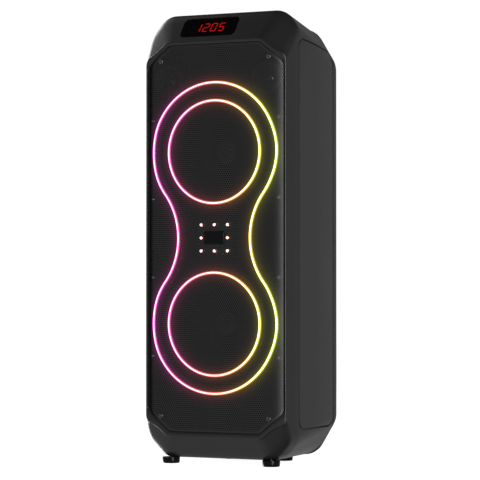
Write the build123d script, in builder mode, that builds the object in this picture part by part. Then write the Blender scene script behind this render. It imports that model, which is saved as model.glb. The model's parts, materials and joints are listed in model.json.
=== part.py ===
from build123d import *
import os
from math import atan2, cos, hypot, pi, radians, sin, sqrt, tan

# Two-woofer party speaker as an assembly of separate pieces.
# Millimetres, +Z up, the front faces -Y, the origin is the centre of the footprint on the floor.

os.makedirs("parts", exist_ok=True)

# ---------------------------------------------------------------- driving dimensions
WIDTH = 236.0
DEPTH = 176.0
HEIGHT = 650.0
FOOT_HEIGHT = 9.0
WALL = 4.0

FRONT_Y = -DEPTH / 2
BACK_Y = DEPTH / 2
SEAM_Y = 64.0                       # cabinet in front of it, rear cover behind it
MID_Z = 324.5                       # height of the middle of the grille
HALF_W = WIDTH / 2

# the shell grows from a narrow front lip to full size; from there its top falls towards the back
# and its corner chamfers widen
LIP_HALF_W = 112.7
LIP_HALF_H = 281.0
LIP_CUT = (39.0, 31.0)              # corner chamfer at the lip, along X and Z
CREST_CUT = (22.0, 27.0)
REAR_CUT = (31.0, 50.0)
LIP_RADIUS = 16.0
CREST_RADIUS = 23.0
REAR_RADIUS = 30.0
TOP_GROWTH_DEPTH = 37.0
BOTTOM_GROWTH_DEPTH = 18.0
STRAIGHT_SHARE = 27.0 / 37.0        # part of the growth that is a straight slope
TOP_FALL = 18.0
REAR_ROUND = 20.0
ROUND_START_Y = BACK_Y - REAR_ROUND
CREST_Y = FRONT_Y + TOP_GROWTH_DEPTH

# perforated grille, flat in the middle and dished back at both flanks
GRILLE_HALF_W = 110.5
GRILLE_HALF_H = 277.4
GRILLE_CUT = (38.5, 30.5)
GRILLE_RADIUS = 14.0
GRILLE_Y = -86.0
GRILLE_SHEET = 1.2
FLANK_X = 88.0
FLANK_RADIUS = 32.6
RIM_PROUD = 2.0                     # the rim stands in front of the grille and is dished less
RIM_RADIUS = 76.0

BAFFLE_FRONT_Y = -75.0
BAFFLE_BACK_Y = -70.0
LEDGE_BACK_Y = -64.0

# light tubes in front of the grille, pegged through it into the boards behind
WOOFER_OFFSET = 123.0
INNER_RING_R = 73.4
OUTER_LOBE_R = 99.3
OUTER_PEG_R = 98.2
WAIST_X = 162.0                     # centre of the arcs that pinch the waist
WAIST_R = hypot(WAIST_X, WOOFER_OFFSET) - OUTER_LOBE_R
TUBE_WIDTH = 5.0
BOARD_FRONT_Y = -82.0
BOARD_BACK_Y = -80.4
PEG_R = 1.2
PIP_PITCH = (21.2, 18.7)

WOOFERS = {"upper": MID_Z + WOOFER_OFFSET, "lower": MID_Z - WOOFER_OFFSET}
SIDES = {"left": -1, "right": 1}
TWEETER_X = 79.0
TWEETER_Z = MID_Z + 227.0
CORNER_SCREW = (87.0, 255.6)
FLANK_SCREW_X = 101.5
FLANK_SCREW_OFFSETS = (56.5, 170.0)

IO_Z = 440.0
PORT_Z = 160.0
HANDLE_Z = 574.0


def keep(builder, label):
    """Label a finished piece and write it to its own file."""
    builder.part.label = label
    export_step(builder.part, f"parts/{label}.step")


def facing(y):
    """Plane at depth y that faces forwards, with its own x along +X and y along +Z."""
    return Plane.XZ.offset(-y)


def axis_y(x, z):
    """Axis along the depth of the speaker."""
    return Axis((x, 0, z), (0, 1, 0))


# ---------------------------------------------------------------- shell outline
def growth(y, span):
    """0 at the front lip, 1 where the shell has its full size; a slope that bends over smoothly."""
    bend = span * (1 - STRAIGHT_SHARE)
    slope = 1 / (span - bend / 2)
    run = y - FRONT_Y
    if run >= span:
        return 1.0
    if run <= span - bend:
        return slope * run
    return 1 - slope * (span - run) ** 2 / (2 * bend)


def rear_share(y):
    """0 up to the crest, 1 where the rear edge starts to round."""
    return max(0.0, y - CREST_Y) / (ROUND_START_Y - CREST_Y)


def fall(y):
    """How far the top has come down at depth y."""
    return TOP_FALL * rear_share(y)


def three_stage(lip, crest, rear, y):
    """A size of the corners at depth y: it runs from lip to crest, then on to rear."""
    return lip + (crest - lip) * growth(y, TOP_GROWTH_DEPTH) + (rear - crest) * rear_share(y)


def octagon(y, half_w, high, low, cut, radius):
    """Rectangle with chamfered and rounded corners, on a plane at depth y."""
    cut_x, cut_z = cut
    right = [
        (half_w - cut_x, high),
        (half_w, high - cut_z),
        (half_w, low + cut_z),
        (half_w - cut_x, low),
    ]
    left = [(-x, z) for x, z in reversed(right)]
    with BuildSketch(facing(y)) as outline:
        with BuildLine():
            Polyline(*right, *left, close=True)
        make_face()
        fillet(outline.vertices(), radius)
    return outline.sketch


def shell_section(y, inset=0.0):
    """Outline of the moulded shell at depth y, moved inwards by inset."""
    top_share = growth(y, TOP_GROWTH_DEPTH)
    low_share = growth(y, BOTTOM_GROWTH_DEPTH)
    cut_x = three_stage(LIP_CUT[0], CREST_CUT[0], REAR_CUT[0], y)
    cut_z = three_stage(LIP_CUT[1], CREST_CUT[1], REAR_CUT[1], y)
    radius = three_stage(LIP_RADIUS, CREST_RADIUS, REAR_RADIUS, y)
    lip_high = MID_Z + LIP_HALF_H
    lip_low = MID_Z - LIP_HALF_H
    spare = inset * (cut_x + cut_z - hypot(cut_x, cut_z))
    return octagon(
        y,
        LIP_HALF_W + (HALF_W - LIP_HALF_W) * top_share - inset,
        lip_high + (HEIGHT - lip_high) * top_share - fall(y) - inset,
        lip_low + (FOOT_HEIGHT - lip_low) * low_share + inset,
        (cut_x - spare / cut_z, cut_z - spare / cut_x),
        max(radius - inset, 4.0),
    )


def rear_inset(y, radius):
    """Inset of the rounded rear edge at depth y."""
    run = max(0.0, y - ROUND_START_Y)
    return radius - sqrt(max(0.0, radius * radius - run * run))


def front_octagon(y, spread):
    """Outline of the grille at depth y, made larger by spread."""
    return octagon(
        y,
        GRILLE_HALF_W + spread,
        MID_Z + GRILLE_HALF_H + spread,
        MID_Z - GRILLE_HALF_H - spread,
        GRILLE_CUT,
        GRILLE_RADIUS,
    )


def dished_profile(proud, back_y, flank=FLANK_RADIUS):
    """Plan view of everything behind the grille face moved forwards by proud, back to back_y."""
    radius = flank + proud
    centre_y = GRILLE_Y + flank
    reach = radius * sin(radians(60))
    side_y = centre_y - radius * cos(radians(60))
    bend_x = FLANK_X + radius * sin(radians(30))
    bend_y = centre_y - radius * cos(radians(30))
    face_y = GRILLE_Y - proud
    edge_x = FLANK_X + reach
    with BuildSketch(Plane.XY) as profile:
        with BuildLine():
            Line((-FLANK_X, face_y), (FLANK_X, face_y))
            ThreePointArc((FLANK_X, face_y), (bend_x, bend_y), (edge_x, side_y))
            Polyline((edge_x, side_y), (edge_x, back_y), (-edge_x, back_y), (-edge_x, side_y))
            ThreePointArc((-edge_x, side_y), (-bend_x, bend_y), (-FLANK_X, face_y))
        make_face()
    return profile.sketch


def flank_plane(side, z):
    """Plane on the dished flank where a small screw sits, facing outwards."""
    turn = (FLANK_SCREW_X - FLANK_X) / FLANK_RADIUS
    lean = (turn, -sqrt(1 - turn * turn))
    origin_y = GRILLE_Y + FLANK_RADIUS + FLANK_RADIUS * lean[1]
    return Plane((side * FLANK_SCREW_X, origin_y, z), (0, 0, 1), (side * lean[0], lean[1], 0))


FLANK_PLANES = [
    flank_plane(side, MID_Z + up * offset)
    for side in (-1, 1)
    for up in (-1, 1)
    for offset in FLANK_SCREW_OFFSETS
]
CORNERS = [
    (side * CORNER_SCREW[0], MID_Z + up * CORNER_SCREW[1])
    for side in (-1, 1)
    for up in (-1, 1)
]

# ---------------------------------------------------------------- light tube paths
INNER_PEGS = [
    (INNER_RING_R * cos(radians(turn)), centre + INNER_RING_R * sin(radians(turn)))
    for centre in WOOFERS.values()
    for turn in range(0, 360, 60)
]
OUTER_PEGS = [
    (
        side * OUTER_PEG_R * sin(radians(turn)),
        MID_Z + up * (WOOFER_OFFSET + OUTER_PEG_R * cos(radians(turn))),
    )
    for side in (-1, 1)
    for up in (-1, 1)
    for turn in (12, 60, 108)
]
PIPS = [
    (column * PIP_PITCH[0], MID_Z + row * PIP_PITCH[1])
    for column in (-1, 0, 1)
    for row in (-1, 0, 1)
    if (column, row) != (0, 0)
]


def figure_eight(y, spread):
    """Closed outline of two lobes with a pinched waist, moved outwards by spread."""
    lobe = OUTER_LOBE_R + spread
    waist = WAIST_R - spread
    share = lobe / hypot(WAIST_X, WOOFER_OFFSET)
    join_x = WAIST_X * share
    join_z = WOOFER_OFFSET * (1 - share)
    top = WOOFER_OFFSET + lobe
    neck = WAIST_X - waist
    with BuildSketch(facing(y)) as outline:
        with BuildLine():
            ThreePointArc((join_x, MID_Z + join_z), (0, MID_Z + top), (-join_x, MID_Z + join_z))
            ThreePointArc((-join_x, MID_Z + join_z), (-neck, MID_Z), (-join_x, MID_Z - join_z))
            ThreePointArc((-join_x, MID_Z - join_z), (0, MID_Z - top), (join_x, MID_Z - join_z))
            ThreePointArc((join_x, MID_Z - join_z), (neck, MID_Z), (join_x, MID_Z + join_z))
        make_face()
    return outline.sketch


# ---------------------------------------------------------------- display on the top slope
DISPLAY_X = -15.0
DISPLAY_SIZE = (89.0, 35.0)
DISPLAY_LOW = (-81.9, MID_Z + 289.48)
DISPLAY_HIGH = (-61.5, MID_Z + 317.85)
DISPLAY_RUN = (DISPLAY_HIGH[0] - DISPLAY_LOW[0], DISPLAY_HIGH[1] - DISPLAY_LOW[1])
DISPLAY_PLANE = Plane(
    (DISPLAY_X, (DISPLAY_LOW[0] + DISPLAY_HIGH[0]) / 2, (DISPLAY_LOW[1] + DISPLAY_HIGH[1]) / 2),
    (1, 0, 0),
    (0, -DISPLAY_RUN[1], DISPLAY_RUN[0]),
)
WINDOW_GLASS = 1.6
WINDOW_LEDGE = (81.0, 27.0)

# ---------------------------------------------------------------- top controls
TOP_TILT = atan2(TOP_FALL, ROUND_START_Y - CREST_Y)
PANEL_SIZE = (136.0, 46.0)
PANEL_Y = 8.0
TOP_PLANE = Plane((0, PANEL_Y, HEIGHT - fall(PANEL_Y)), (1, 0, 0), (0, sin(TOP_TILT), cos(TOP_TILT)))
PANEL_DROP = 1.0                    # its face lies this far under the shell's top
PANEL_THICK = 2.4
BUTTON_PITCH = 20.0
BUTTON_R = 6.4
BUTTON_GAP = 0.35
BUTTON_NAMES = ("light", "previous", "play", "next", "mode", "effect")
BUTTON_BOARD_DROP = 12.0

# ---------------------------------------------------------------- side panels
PANEL_SKIN = 2.0
PANEL_GAP = 0.35
SIDE_FRONT_Y = -50.0
SIDE_REAR_Y = 60.0
SIDE_LOW_Z = 54.0
SIDE_HIGH_Z = 607.0
SIDE_SLANT = 10.0                   # the panel's top edge comes down this much by its rear end
SIDE_CORNER = 11.0


def side_outline(x, spread):
    """Outline of a side panel seen from the side, made larger by spread."""
    front = SIDE_FRONT_Y - spread
    rear = SIDE_REAR_Y + spread
    low = SIDE_LOW_Z - spread
    high = SIDE_HIGH_Z + spread
    with BuildSketch(Plane.YZ.offset(x)) as outline:
        with BuildLine():
            Polyline((front, low), (rear, low), (rear, high - SIDE_SLANT), (front, high), close=True)
        make_face()
        fillet(outline.vertices(), SIDE_CORNER + spread)
    return outline.sketch


# ---------------------------------------------------------------- fasteners
BAFFLE_SCREWS = [
    (side * 105.5, MID_Z + z) for side in (-1, 1) for z in (-215, -115, 0, 115, 215)
] + [(x, MID_Z + up * 272.6) for x in (-35, 35) for up in (-1, 1)]
REAR_SCREWS = [(side * 98.0, z) for side in (-1, 1) for z in (90, 215, 330, 440, 552)]
FEET = [(side * x, y) for side in (-1, 1) for x, y in ((81.0, -66.0), (44.0, 50.0))]
FOOT_R = 12.7
DRIVER_SCREW_CIRCLE = 78.2
DRIVER_HOLE_R = 1.6
FLANGE_BACK_Y = -67.5               # back of a woofer's mounting flange

# ---------------------------------------------------------------- cabinet
BOTTOM_BEND = [-74.9, -73.4, -71.8, -70]
TOP_BEND = [-61, -59.4, -57.8, -56, -54.4, -52.8, CREST_Y]
SHELL_STATIONS = [FRONT_Y, *BOTTOM_BEND, *TOP_BEND, SEAM_Y]
CAVITY_STATIONS = [LEDGE_BACK_Y, *TOP_BEND, SEAM_Y]
CHANNEL_STATIONS = [-82, *BOTTOM_BEND, LEDGE_BACK_Y]
PANEL_STATIONS = [-54.4, -52.8, CREST_Y, SEAM_Y]
POCKET_GAP = 0.3
POCKET_WALL = 3.0
LEDGE_HALF = (103.0, 268.0)

with BuildPart() as channel:
    loft([shell_section(y, WALL) for y in CHANNEL_STATIONS], ruled=True)
    extrude(front_octagon(LEDGE_BACK_Y, POCKET_GAP + POCKET_WALL), amount=30, mode=Mode.SUBTRACT)

with BuildPart() as panel_recess:
    for side in (-1, 1):
        extrude(side_outline(side * 90.0, PANEL_GAP), amount=side * 40)
    loft(
        [shell_section(y, PANEL_SKIN) for y in PANEL_STATIONS],
        ruled=True,
        mode=Mode.SUBTRACT,
    )

with BuildPart() as cabinet:
    loft([shell_section(y) for y in SHELL_STATIONS], ruled=True)
    extrude(dished_profile(RIM_PROUD, SEAM_Y, RIM_RADIUS), amount=HEIGHT, mode=Mode.INTERSECT)
    extrude(front_octagon(BAFFLE_BACK_Y, POCKET_GAP), amount=30, mode=Mode.SUBTRACT)
    loft([shell_section(y, WALL) for y in CAVITY_STATIONS], ruled=True, mode=Mode.SUBTRACT)
    add(channel.part, mode=Mode.SUBTRACT)
    with BuildSketch(facing(LEDGE_BACK_Y)):
        with Locations((0, MID_Z)):
            RectangleRounded(2 * LEDGE_HALF[0], 2 * LEDGE_HALF[1], 30)
    extrude(amount=8, mode=Mode.SUBTRACT)
    add(panel_recess.part, mode=Mode.SUBTRACT)
    # posts for the rear cover, joined to the side walls by webs
    with BuildSketch(facing(SEAM_Y)):
        with Locations(*REAR_SCREWS):
            Circle(5.5)
    extrude(amount=24)
    with BuildSketch(facing(SEAM_Y - 5)):
        with Locations(*[(x * 1.09, z) for x, z in REAR_SCREWS]):
            Rectangle(16, 3)
    extrude(amount=19)
    with BuildSketch(facing(SEAM_Y)):
        with Locations(*REAR_SCREWS):
            Circle(1.7)
    extrude(amount=20, mode=Mode.SUBTRACT)
    # holes for the baffle screws in the ledge
    with BuildSketch(facing(LEDGE_BACK_Y)):
        with Locations(*BAFFLE_SCREWS):
            Circle(1.6)
    extrude(amount=8, mode=Mode.SUBTRACT)
    # frame under the top controls, then the two-step opening for them
    with BuildSketch(TOP_PLANE.offset(-WALL - 3.0)):
        Rectangle(PANEL_SIZE[0] + 10, PANEL_SIZE[1] + 10)
    extrude(amount=4.0)
    with BuildSketch(TOP_PLANE.offset(-PANEL_DROP - PANEL_THICK)):
        RectangleRounded(PANEL_SIZE[0] + 0.6, PANEL_SIZE[1] + 0.6, 8)
    extrude(amount=10, mode=Mode.SUBTRACT)
    with BuildSketch(TOP_PLANE.offset(-12)):
        RectangleRounded(PANEL_SIZE[0] - 8, PANEL_SIZE[1] - 8, 5)
    extrude(amount=12, mode=Mode.SUBTRACT)
    # seat and opening for the display window
    with BuildSketch(DISPLAY_PLANE.offset(-WINDOW_GLASS - 0.2)):
        RectangleRounded(DISPLAY_SIZE[0] + 0.6, DISPLAY_SIZE[1] + 0.6, 8)
    extrude(amount=9, mode=Mode.SUBTRACT)
    with BuildSketch(DISPLAY_PLANE.offset(-9)):
        RectangleRounded(*WINDOW_LEDGE, 4)
    extrude(amount=9, mode=Mode.SUBTRACT)
    # thick pads over the feet, with screw holes
    with BuildSketch(Plane.XY.offset(FOOT_HEIGHT + WALL - 0.5)):
        with Locations(*FEET):
            Circle(7)
    extrude(amount=6.5)
    with BuildSketch(Plane.XY.offset(FOOT_HEIGHT - 1)):
        with Locations(*FEET):
            Circle(1.6)
    extrude(amount=12, mode=Mode.SUBTRACT)
keep(cabinet, "cabinet")

for name, side in SIDES.items():
    with BuildPart() as side_panel:
        loft([shell_section(y) for y in PANEL_STATIONS], ruled=True)
        loft(
            [shell_section(y, PANEL_SKIN) for y in PANEL_STATIONS],
            ruled=True,
            mode=Mode.SUBTRACT,
        )
        extrude(side_outline(side * 90.0, 0), amount=side * 40, mode=Mode.INTERSECT)
    keep(side_panel, f"side_panel_{name}")

# ---------------------------------------------------------------- rear cover
ROUND_STATIONS = [SEAM_Y, ROUND_START_Y, 73, 77, 81, 84, 86.5, BACK_Y]
COVER_CAVITY_STATIONS = [SEAM_Y, ROUND_START_Y, 72, 76, 80, 83, BACK_Y - WALL]
RIB_INSET = 4.9
RIB_THICK = 2.0
COVER_FLOOR = 4.0                   # plastic between the seam and a screw head
IO_PLATE = 150.0
IO_HOLE = 142.0
IO_FLOOR_Y = 76.0                   # floor of the tub that holds the connection panel
IO_FACE_Y = 79.0
IO_SCREWS = [(x, IO_Z + z) for x in (-73, 73) for z in (-45, 45)]
PORT_OUTER_R = 25.0
PORT_INNER_R = 23.0
PORT_FLANGE_R = 29.0
PORT_DEPTH_Y = 10.0
CUP_SIZE = (112.0, 36.0)
CUP_FLANGE = (126.0, 50.0)
TRIM_RECESS = 1.8                   # depth of the seats for the port and handle flanges


def cover_section(y, wall):
    """Outline of the rear cover at depth y, wall inside its outer face, with its rounded edge."""
    return shell_section(y, wall + rear_inset(y, REAR_ROUND - wall))


def rectangles(y, spots, size_x, size_z, radius):
    """Rounded rectangles at depth y, one centred on each spot."""
    with BuildSketch(facing(y)) as outline:
        with Locations(*spots):
            RectangleRounded(size_x, size_z, radius)
    return outline.sketch


def circles(y, spots, radius):
    """Circles at depth y, one centred on each spot."""
    with BuildSketch(facing(y)) as outline:
        with Locations(*spots):
            Circle(radius)
    return outline.sketch


with BuildPart() as cover_posts:
    extrude(circles(BACK_Y, REAR_SCREWS, 7.5), amount=BACK_Y - SEAM_Y)
    extrude(rectangles(BACK_Y, [(0, IO_Z)], IO_PLATE + 8, IO_PLATE + 8, 8), amount=16)
    loft([cover_section(y, 0) for y in ROUND_STATIONS], ruled=True, mode=Mode.INTERSECT)

with BuildPart() as rear_cover:
    loft([cover_section(y, 0) for y in ROUND_STATIONS], ruled=True)
    loft([cover_section(y, WALL) for y in COVER_CAVITY_STATIONS], ruled=True, mode=Mode.SUBTRACT)
    add(cover_posts.part)
    # rib that locates the cover inside the cabinet, on a foot that joins it to the wall
    extrude(shell_section(SEAM_Y, RIB_INSET), amount=4)
    extrude(shell_section(SEAM_Y, RIB_INSET + RIB_THICK), amount=4, mode=Mode.SUBTRACT)
    extrude(shell_section(SEAM_Y, RIB_INSET - 1.2), amount=-1)
    extrude(shell_section(SEAM_Y, RIB_INSET + RIB_THICK), amount=-1, mode=Mode.SUBTRACT)
    # wells and holes for the long screws
    extrude(circles(BACK_Y, REAR_SCREWS, 4.6), amount=BACK_Y - SEAM_Y - COVER_FLOOR, mode=Mode.SUBTRACT)
    extrude(circles(BACK_Y, REAR_SCREWS, 1.9), amount=40, mode=Mode.SUBTRACT)
    # tub for the connection panel
    extrude(
        rectangles(BACK_Y, [(0, IO_Z)], IO_PLATE + 0.6, IO_PLATE + 0.6, 5),
        amount=BACK_Y - IO_FLOOR_Y,
        mode=Mode.SUBTRACT,
    )
    extrude(rectangles(BACK_Y, [(0, IO_Z)], IO_HOLE, IO_HOLE, 4), amount=24, mode=Mode.SUBTRACT)
    extrude(circles(BACK_Y, IO_SCREWS, 1.2), amount=15, mode=Mode.SUBTRACT)
    # seats and holes for the port and the handle cup
    extrude(circles(BACK_Y, [(0, PORT_Z)], PORT_FLANGE_R + 0.3), amount=TRIM_RECESS, mode=Mode.SUBTRACT)
    extrude(circles(BACK_Y, [(0, PORT_Z)], PORT_OUTER_R + 0.3), amount=24, mode=Mode.SUBTRACT)
    extrude(
        rectangles(BACK_Y, [(0, HANDLE_Z)], CUP_FLANGE[0] + 0.6, CUP_FLANGE[1] + 0.6, 12),
        amount=TRIM_RECESS,
        mode=Mode.SUBTRACT,
    )
    extrude(
        rectangles(BACK_Y, [(0, HANDLE_Z)], CUP_SIZE[0] + 0.6, CUP_SIZE[1] + 0.6, 8),
        amount=24,
        mode=Mode.SUBTRACT,
    )
keep(rear_cover, "rear_cover")

with BuildPart() as port_tube:
    with BuildSketch(Plane((0, 0, PORT_Z))):
        with BuildLine():
            Polyline(
                (PORT_INNER_R, PORT_DEPTH_Y),
                (PORT_OUTER_R, PORT_DEPTH_Y),
                (PORT_OUTER_R, BACK_Y - TRIM_RECESS),
                (PORT_FLANGE_R, BACK_Y - TRIM_RECESS),
                (PORT_FLANGE_R, BACK_Y - 0.6),
                (PORT_FLANGE_R - 1, BACK_Y - 0.2),
                (PORT_INNER_R + 3, BACK_Y - 0.2),
            )
            RadiusArc((PORT_INNER_R + 3, BACK_Y - 0.2), (PORT_INNER_R, BACK_Y - 3.2), -3)
            Line((PORT_INNER_R, BACK_Y - 3.2), (PORT_INNER_R, PORT_DEPTH_Y))
        make_face()
    revolve(axis=axis_y(0, PORT_Z))
keep(port_tube, "port_tube")

# finger pocket: a flange, a box and a hollow that rises behind the box's upper lip
CUP_WALL = 2.5
CUP_DEPTH_Y = 54.0
CUP_RISE = 14.0
CUP_LIP_Y = 80.0
with BuildPart() as handle_cup:
    flange_y = BACK_Y - TRIM_RECESS
    extrude(rectangles(flange_y, [(0, HANDLE_Z)], *CUP_SIZE, 8), amount=flange_y - CUP_DEPTH_Y)
    extrude(rectangles(BACK_Y - 0.2, [(0, HANDLE_Z)], *CUP_FLANGE, 11.7), amount=TRIM_RECESS - 0.2)
    extrude(
        rectangles(CUP_LIP_Y, [(0, HANDLE_Z + CUP_RISE / 2)], CUP_SIZE[0], CUP_SIZE[1] + CUP_RISE, 8),
        amount=CUP_LIP_Y - CUP_DEPTH_Y,
    )
    hollow_x = CUP_SIZE[0] - 2 * CUP_WALL
    hollow_z = CUP_SIZE[1] - 2 * CUP_WALL
    extrude(
        rectangles(BACK_Y, [(0, HANDLE_Z)], hollow_x, hollow_z, 5.5),
        amount=BACK_Y - CUP_DEPTH_Y - CUP_WALL,
        mode=Mode.SUBTRACT,
    )
    extrude(
        rectangles(CUP_LIP_Y - CUP_WALL, [(0, HANDLE_Z + CUP_RISE / 2)], hollow_x, hollow_z + CUP_RISE, 5.5),
        amount=CUP_LIP_Y - CUP_DEPTH_Y - 2 * CUP_WALL,
        mode=Mode.SUBTRACT,
    )
keep(handle_cup, "handle_cup")

# ---------------------------------------------------------------- feet
FOOT_SEAT = 5.0
with BuildPart() as feet:
    with BuildSketch(Plane.XY.offset(FOOT_HEIGHT)):
        with Locations(*FEET):
            Circle(FOOT_R)
    extrude(amount=-FOOT_HEIGHT, taper=2.5)
    fillet(feet.edges().group_by(Axis.Z)[0], 1.2)
    with BuildSketch(Plane.XY):
        with Locations(*FEET):
            Circle(4.4)
    extrude(amount=FOOT_SEAT, mode=Mode.SUBTRACT)
    with BuildSketch(Plane.XY):
        with Locations(*FEET):
            Circle(1.9)
    extrude(amount=FOOT_HEIGHT, mode=Mode.SUBTRACT)
keep(feet, "feet")

with BuildPart() as foot_screws:
    with BuildSketch(Plane.XY.offset(FOOT_SEAT)):
        with Locations(*FEET):
            Circle(3.8)
    extrude(amount=-2.4)
    with BuildSketch(Plane.XY.offset(FOOT_SEAT)):
        with Locations(*FEET):
            Circle(1.55)
    extrude(amount=13)
keep(foot_screws, "foot_screws")

# ---------------------------------------------------------------- baffle, grille and lights
BAFFLE_HOLE_R = 73.0
TWEETER_HOLE_R = 22.0
TWEETERS = [(side * TWEETER_X, TWEETER_Z) for side in (-1, 1)]
RING_BOARD = (71.5, 81.0)
OUTLINE_BOARD = (-7.4, 0.6)
PIP_BOARD = (56.0, 52.0)
RING_POSTS = [
    (78.4 * cos(radians(turn)), centre + 78.4 * sin(radians(turn)))
    for centre in WOOFERS.values()
    for turn in range(30, 390, 60)
]
OUTLINE_POSTS = [(x * 0.96, MID_Z + (z - MID_Z) * 0.985) for x, z in OUTER_PEGS]
PIP_POSTS = [(x, MID_Z + z) for x in (-24, 24) for z in (-22, 22)]
FLANK_POSTS = [(plane.origin.X, plane.origin.Z) for plane in FLANK_PLANES]
DRIVER_SCREWS = [
    (DRIVER_SCREW_CIRCLE * cos(radians(turn)), centre + DRIVER_SCREW_CIRCLE * sin(radians(turn)))
    for centre in WOOFERS.values()
    for turn in (45, 135, 225, 315)
]

with BuildPart() as front_baffle:
    extrude(front_octagon(BAFFLE_BACK_Y, 0), amount=BAFFLE_BACK_Y - BAFFLE_FRONT_Y)
    extrude(circles(BAFFLE_FRONT_Y, CORNERS, 5), amount=14)
    extrude(circles(BAFFLE_FRONT_Y, FLANK_POSTS, 4.5), amount=14)
    extrude(circles(BAFFLE_FRONT_Y, RING_POSTS, 2), amount=BAFFLE_FRONT_Y - BOARD_BACK_Y)
    extrude(circles(BAFFLE_FRONT_Y, OUTLINE_POSTS, 2.5), amount=BAFFLE_FRONT_Y - BOARD_BACK_Y)
    extrude(circles(BAFFLE_FRONT_Y, PIP_POSTS, 2.5), amount=BAFFLE_FRONT_Y - BOARD_BACK_Y)
    extrude(dished_profile(-GRILLE_SHEET, 0), amount=HEIGHT, mode=Mode.INTERSECT)
    woofer_spots = [(0, centre) for centre in WOOFERS.values()]
    extrude(circles(BAFFLE_BACK_Y, woofer_spots, BAFFLE_HOLE_R), amount=5, mode=Mode.SUBTRACT)
    extrude(circles(BAFFLE_BACK_Y, TWEETERS, TWEETER_HOLE_R), amount=20, mode=Mode.SUBTRACT)
    extrude(circles(BAFFLE_BACK_Y, BAFFLE_SCREWS, 1.9), amount=20, mode=Mode.SUBTRACT)
    extrude(circles(BAFFLE_BACK_Y, CORNERS, 1.5), amount=20, mode=Mode.SUBTRACT)
    extrude(circles(BAFFLE_BACK_Y, DRIVER_SCREWS, DRIVER_HOLE_R), amount=4, mode=Mode.SUBTRACT)
    for plane in FLANK_PLANES:
        with BuildSketch(plane):
            Circle(1.2)
        extrude(amount=-8, mode=Mode.SUBTRACT)
keep(front_baffle, "front_baffle")

with BuildPart() as grille:
    extrude(front_octagon(BAFFLE_FRONT_Y, 0), amount=20)
    extrude(dished_profile(0, 0), amount=HEIGHT, mode=Mode.INTERSECT)
    extrude(dished_profile(-GRILLE_SHEET, 0), amount=HEIGHT, mode=Mode.SUBTRACT)
    extrude(circles(BAFFLE_FRONT_Y, CORNERS, 1.8), amount=20, mode=Mode.SUBTRACT)
    extrude(circles(BAFFLE_FRONT_Y, INNER_PEGS + OUTER_PEGS, PEG_R + 0.2), amount=20, mode=Mode.SUBTRACT)
    extrude(circles(BAFFLE_FRONT_Y, PIPS, 2.15), amount=20, mode=Mode.SUBTRACT)
    for plane in FLANK_PLANES:
        with BuildSketch(plane.offset(2)):
            Circle(1.4)
        extrude(amount=-8, mode=Mode.SUBTRACT)
keep(grille, "grille")

with BuildPart() as led_boards:
    thick = BOARD_BACK_Y - BOARD_FRONT_Y
    extrude(figure_eight(BOARD_BACK_Y, OUTLINE_BOARD[1]), amount=thick)
    extrude(figure_eight(BOARD_BACK_Y, OUTLINE_BOARD[0]), amount=thick, mode=Mode.SUBTRACT)
    extrude(circles(BOARD_BACK_Y, woofer_spots, RING_BOARD[1]), amount=thick)
    extrude(circles(BOARD_BACK_Y, woofer_spots, RING_BOARD[0]), amount=thick, mode=Mode.SUBTRACT)
    extrude(rectangles(BOARD_BACK_Y, [(0, MID_Z)], *PIP_BOARD, 3), amount=thick)
    extrude(circles(BOARD_BACK_Y, INNER_PEGS + OUTER_PEGS, PEG_R), amount=thick, mode=Mode.SUBTRACT)
keep(led_boards, "led_boards")

for name, centre in WOOFERS.items():
    with BuildPart() as light_ring:
        extrude(circles(GRILLE_Y, [(0, centre)], INNER_RING_R + TUBE_WIDTH / 2), amount=GRILLE_Y - FRONT_Y)
        extrude(
            circles(GRILLE_Y, [(0, centre)], INNER_RING_R - TUBE_WIDTH / 2),
            amount=GRILLE_Y - FRONT_Y,
            mode=Mode.SUBTRACT,
        )
        fillet(light_ring.edges().group_by(Axis.Y)[0], 1.5)
        pegs = [peg for peg in INNER_PEGS if abs(peg[1] - centre) < INNER_RING_R]
        extrude(circles(BOARD_BACK_Y, pegs, PEG_R), amount=BOARD_BACK_Y - GRILLE_Y + 0.5)
    keep(light_ring, f"led_ring_{name}")

with BuildPart() as outline_ring:
    extrude(figure_eight(BOARD_BACK_Y, TUBE_WIDTH / 2), amount=BOARD_BACK_Y - FRONT_Y)
    extrude(figure_eight(BOARD_BACK_Y, -TUBE_WIDTH / 2), amount=BOARD_BACK_Y - FRONT_Y, mode=Mode.SUBTRACT)
    extrude(dished_profile(0, 0), amount=HEIGHT, mode=Mode.SUBTRACT)
    fillet(outline_ring.edges().group_by(Axis.Y)[0], 1.5)
    extrude(circles(BOARD_BACK_Y, OUTER_PEGS, PEG_R), amount=BOARD_BACK_Y - GRILLE_Y + 0.2)
keep(outline_ring, "led_outline_ring")

with BuildPart() as led_pips:
    extrude(circles(BOARD_FRONT_Y, PIPS, 2.0), amount=BOARD_FRONT_Y - FRONT_Y - 0.4)
    fillet(led_pips.edges().group_by(Axis.Y)[0], 1.2)
    extrude(circles(BOARD_FRONT_Y, PIPS, 3.2), amount=2.0)
keep(led_pips, "led_pips")

with BuildPart() as badge_plate:
    extrude(rectangles(GRILLE_Y, [(0, MID_Z)], 32, 19, 2), amount=1.6)
    chamfer(badge_plate.edges().group_by(Axis.Y)[0], 0.5)
keep(badge_plate, "badge_plate")

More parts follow.
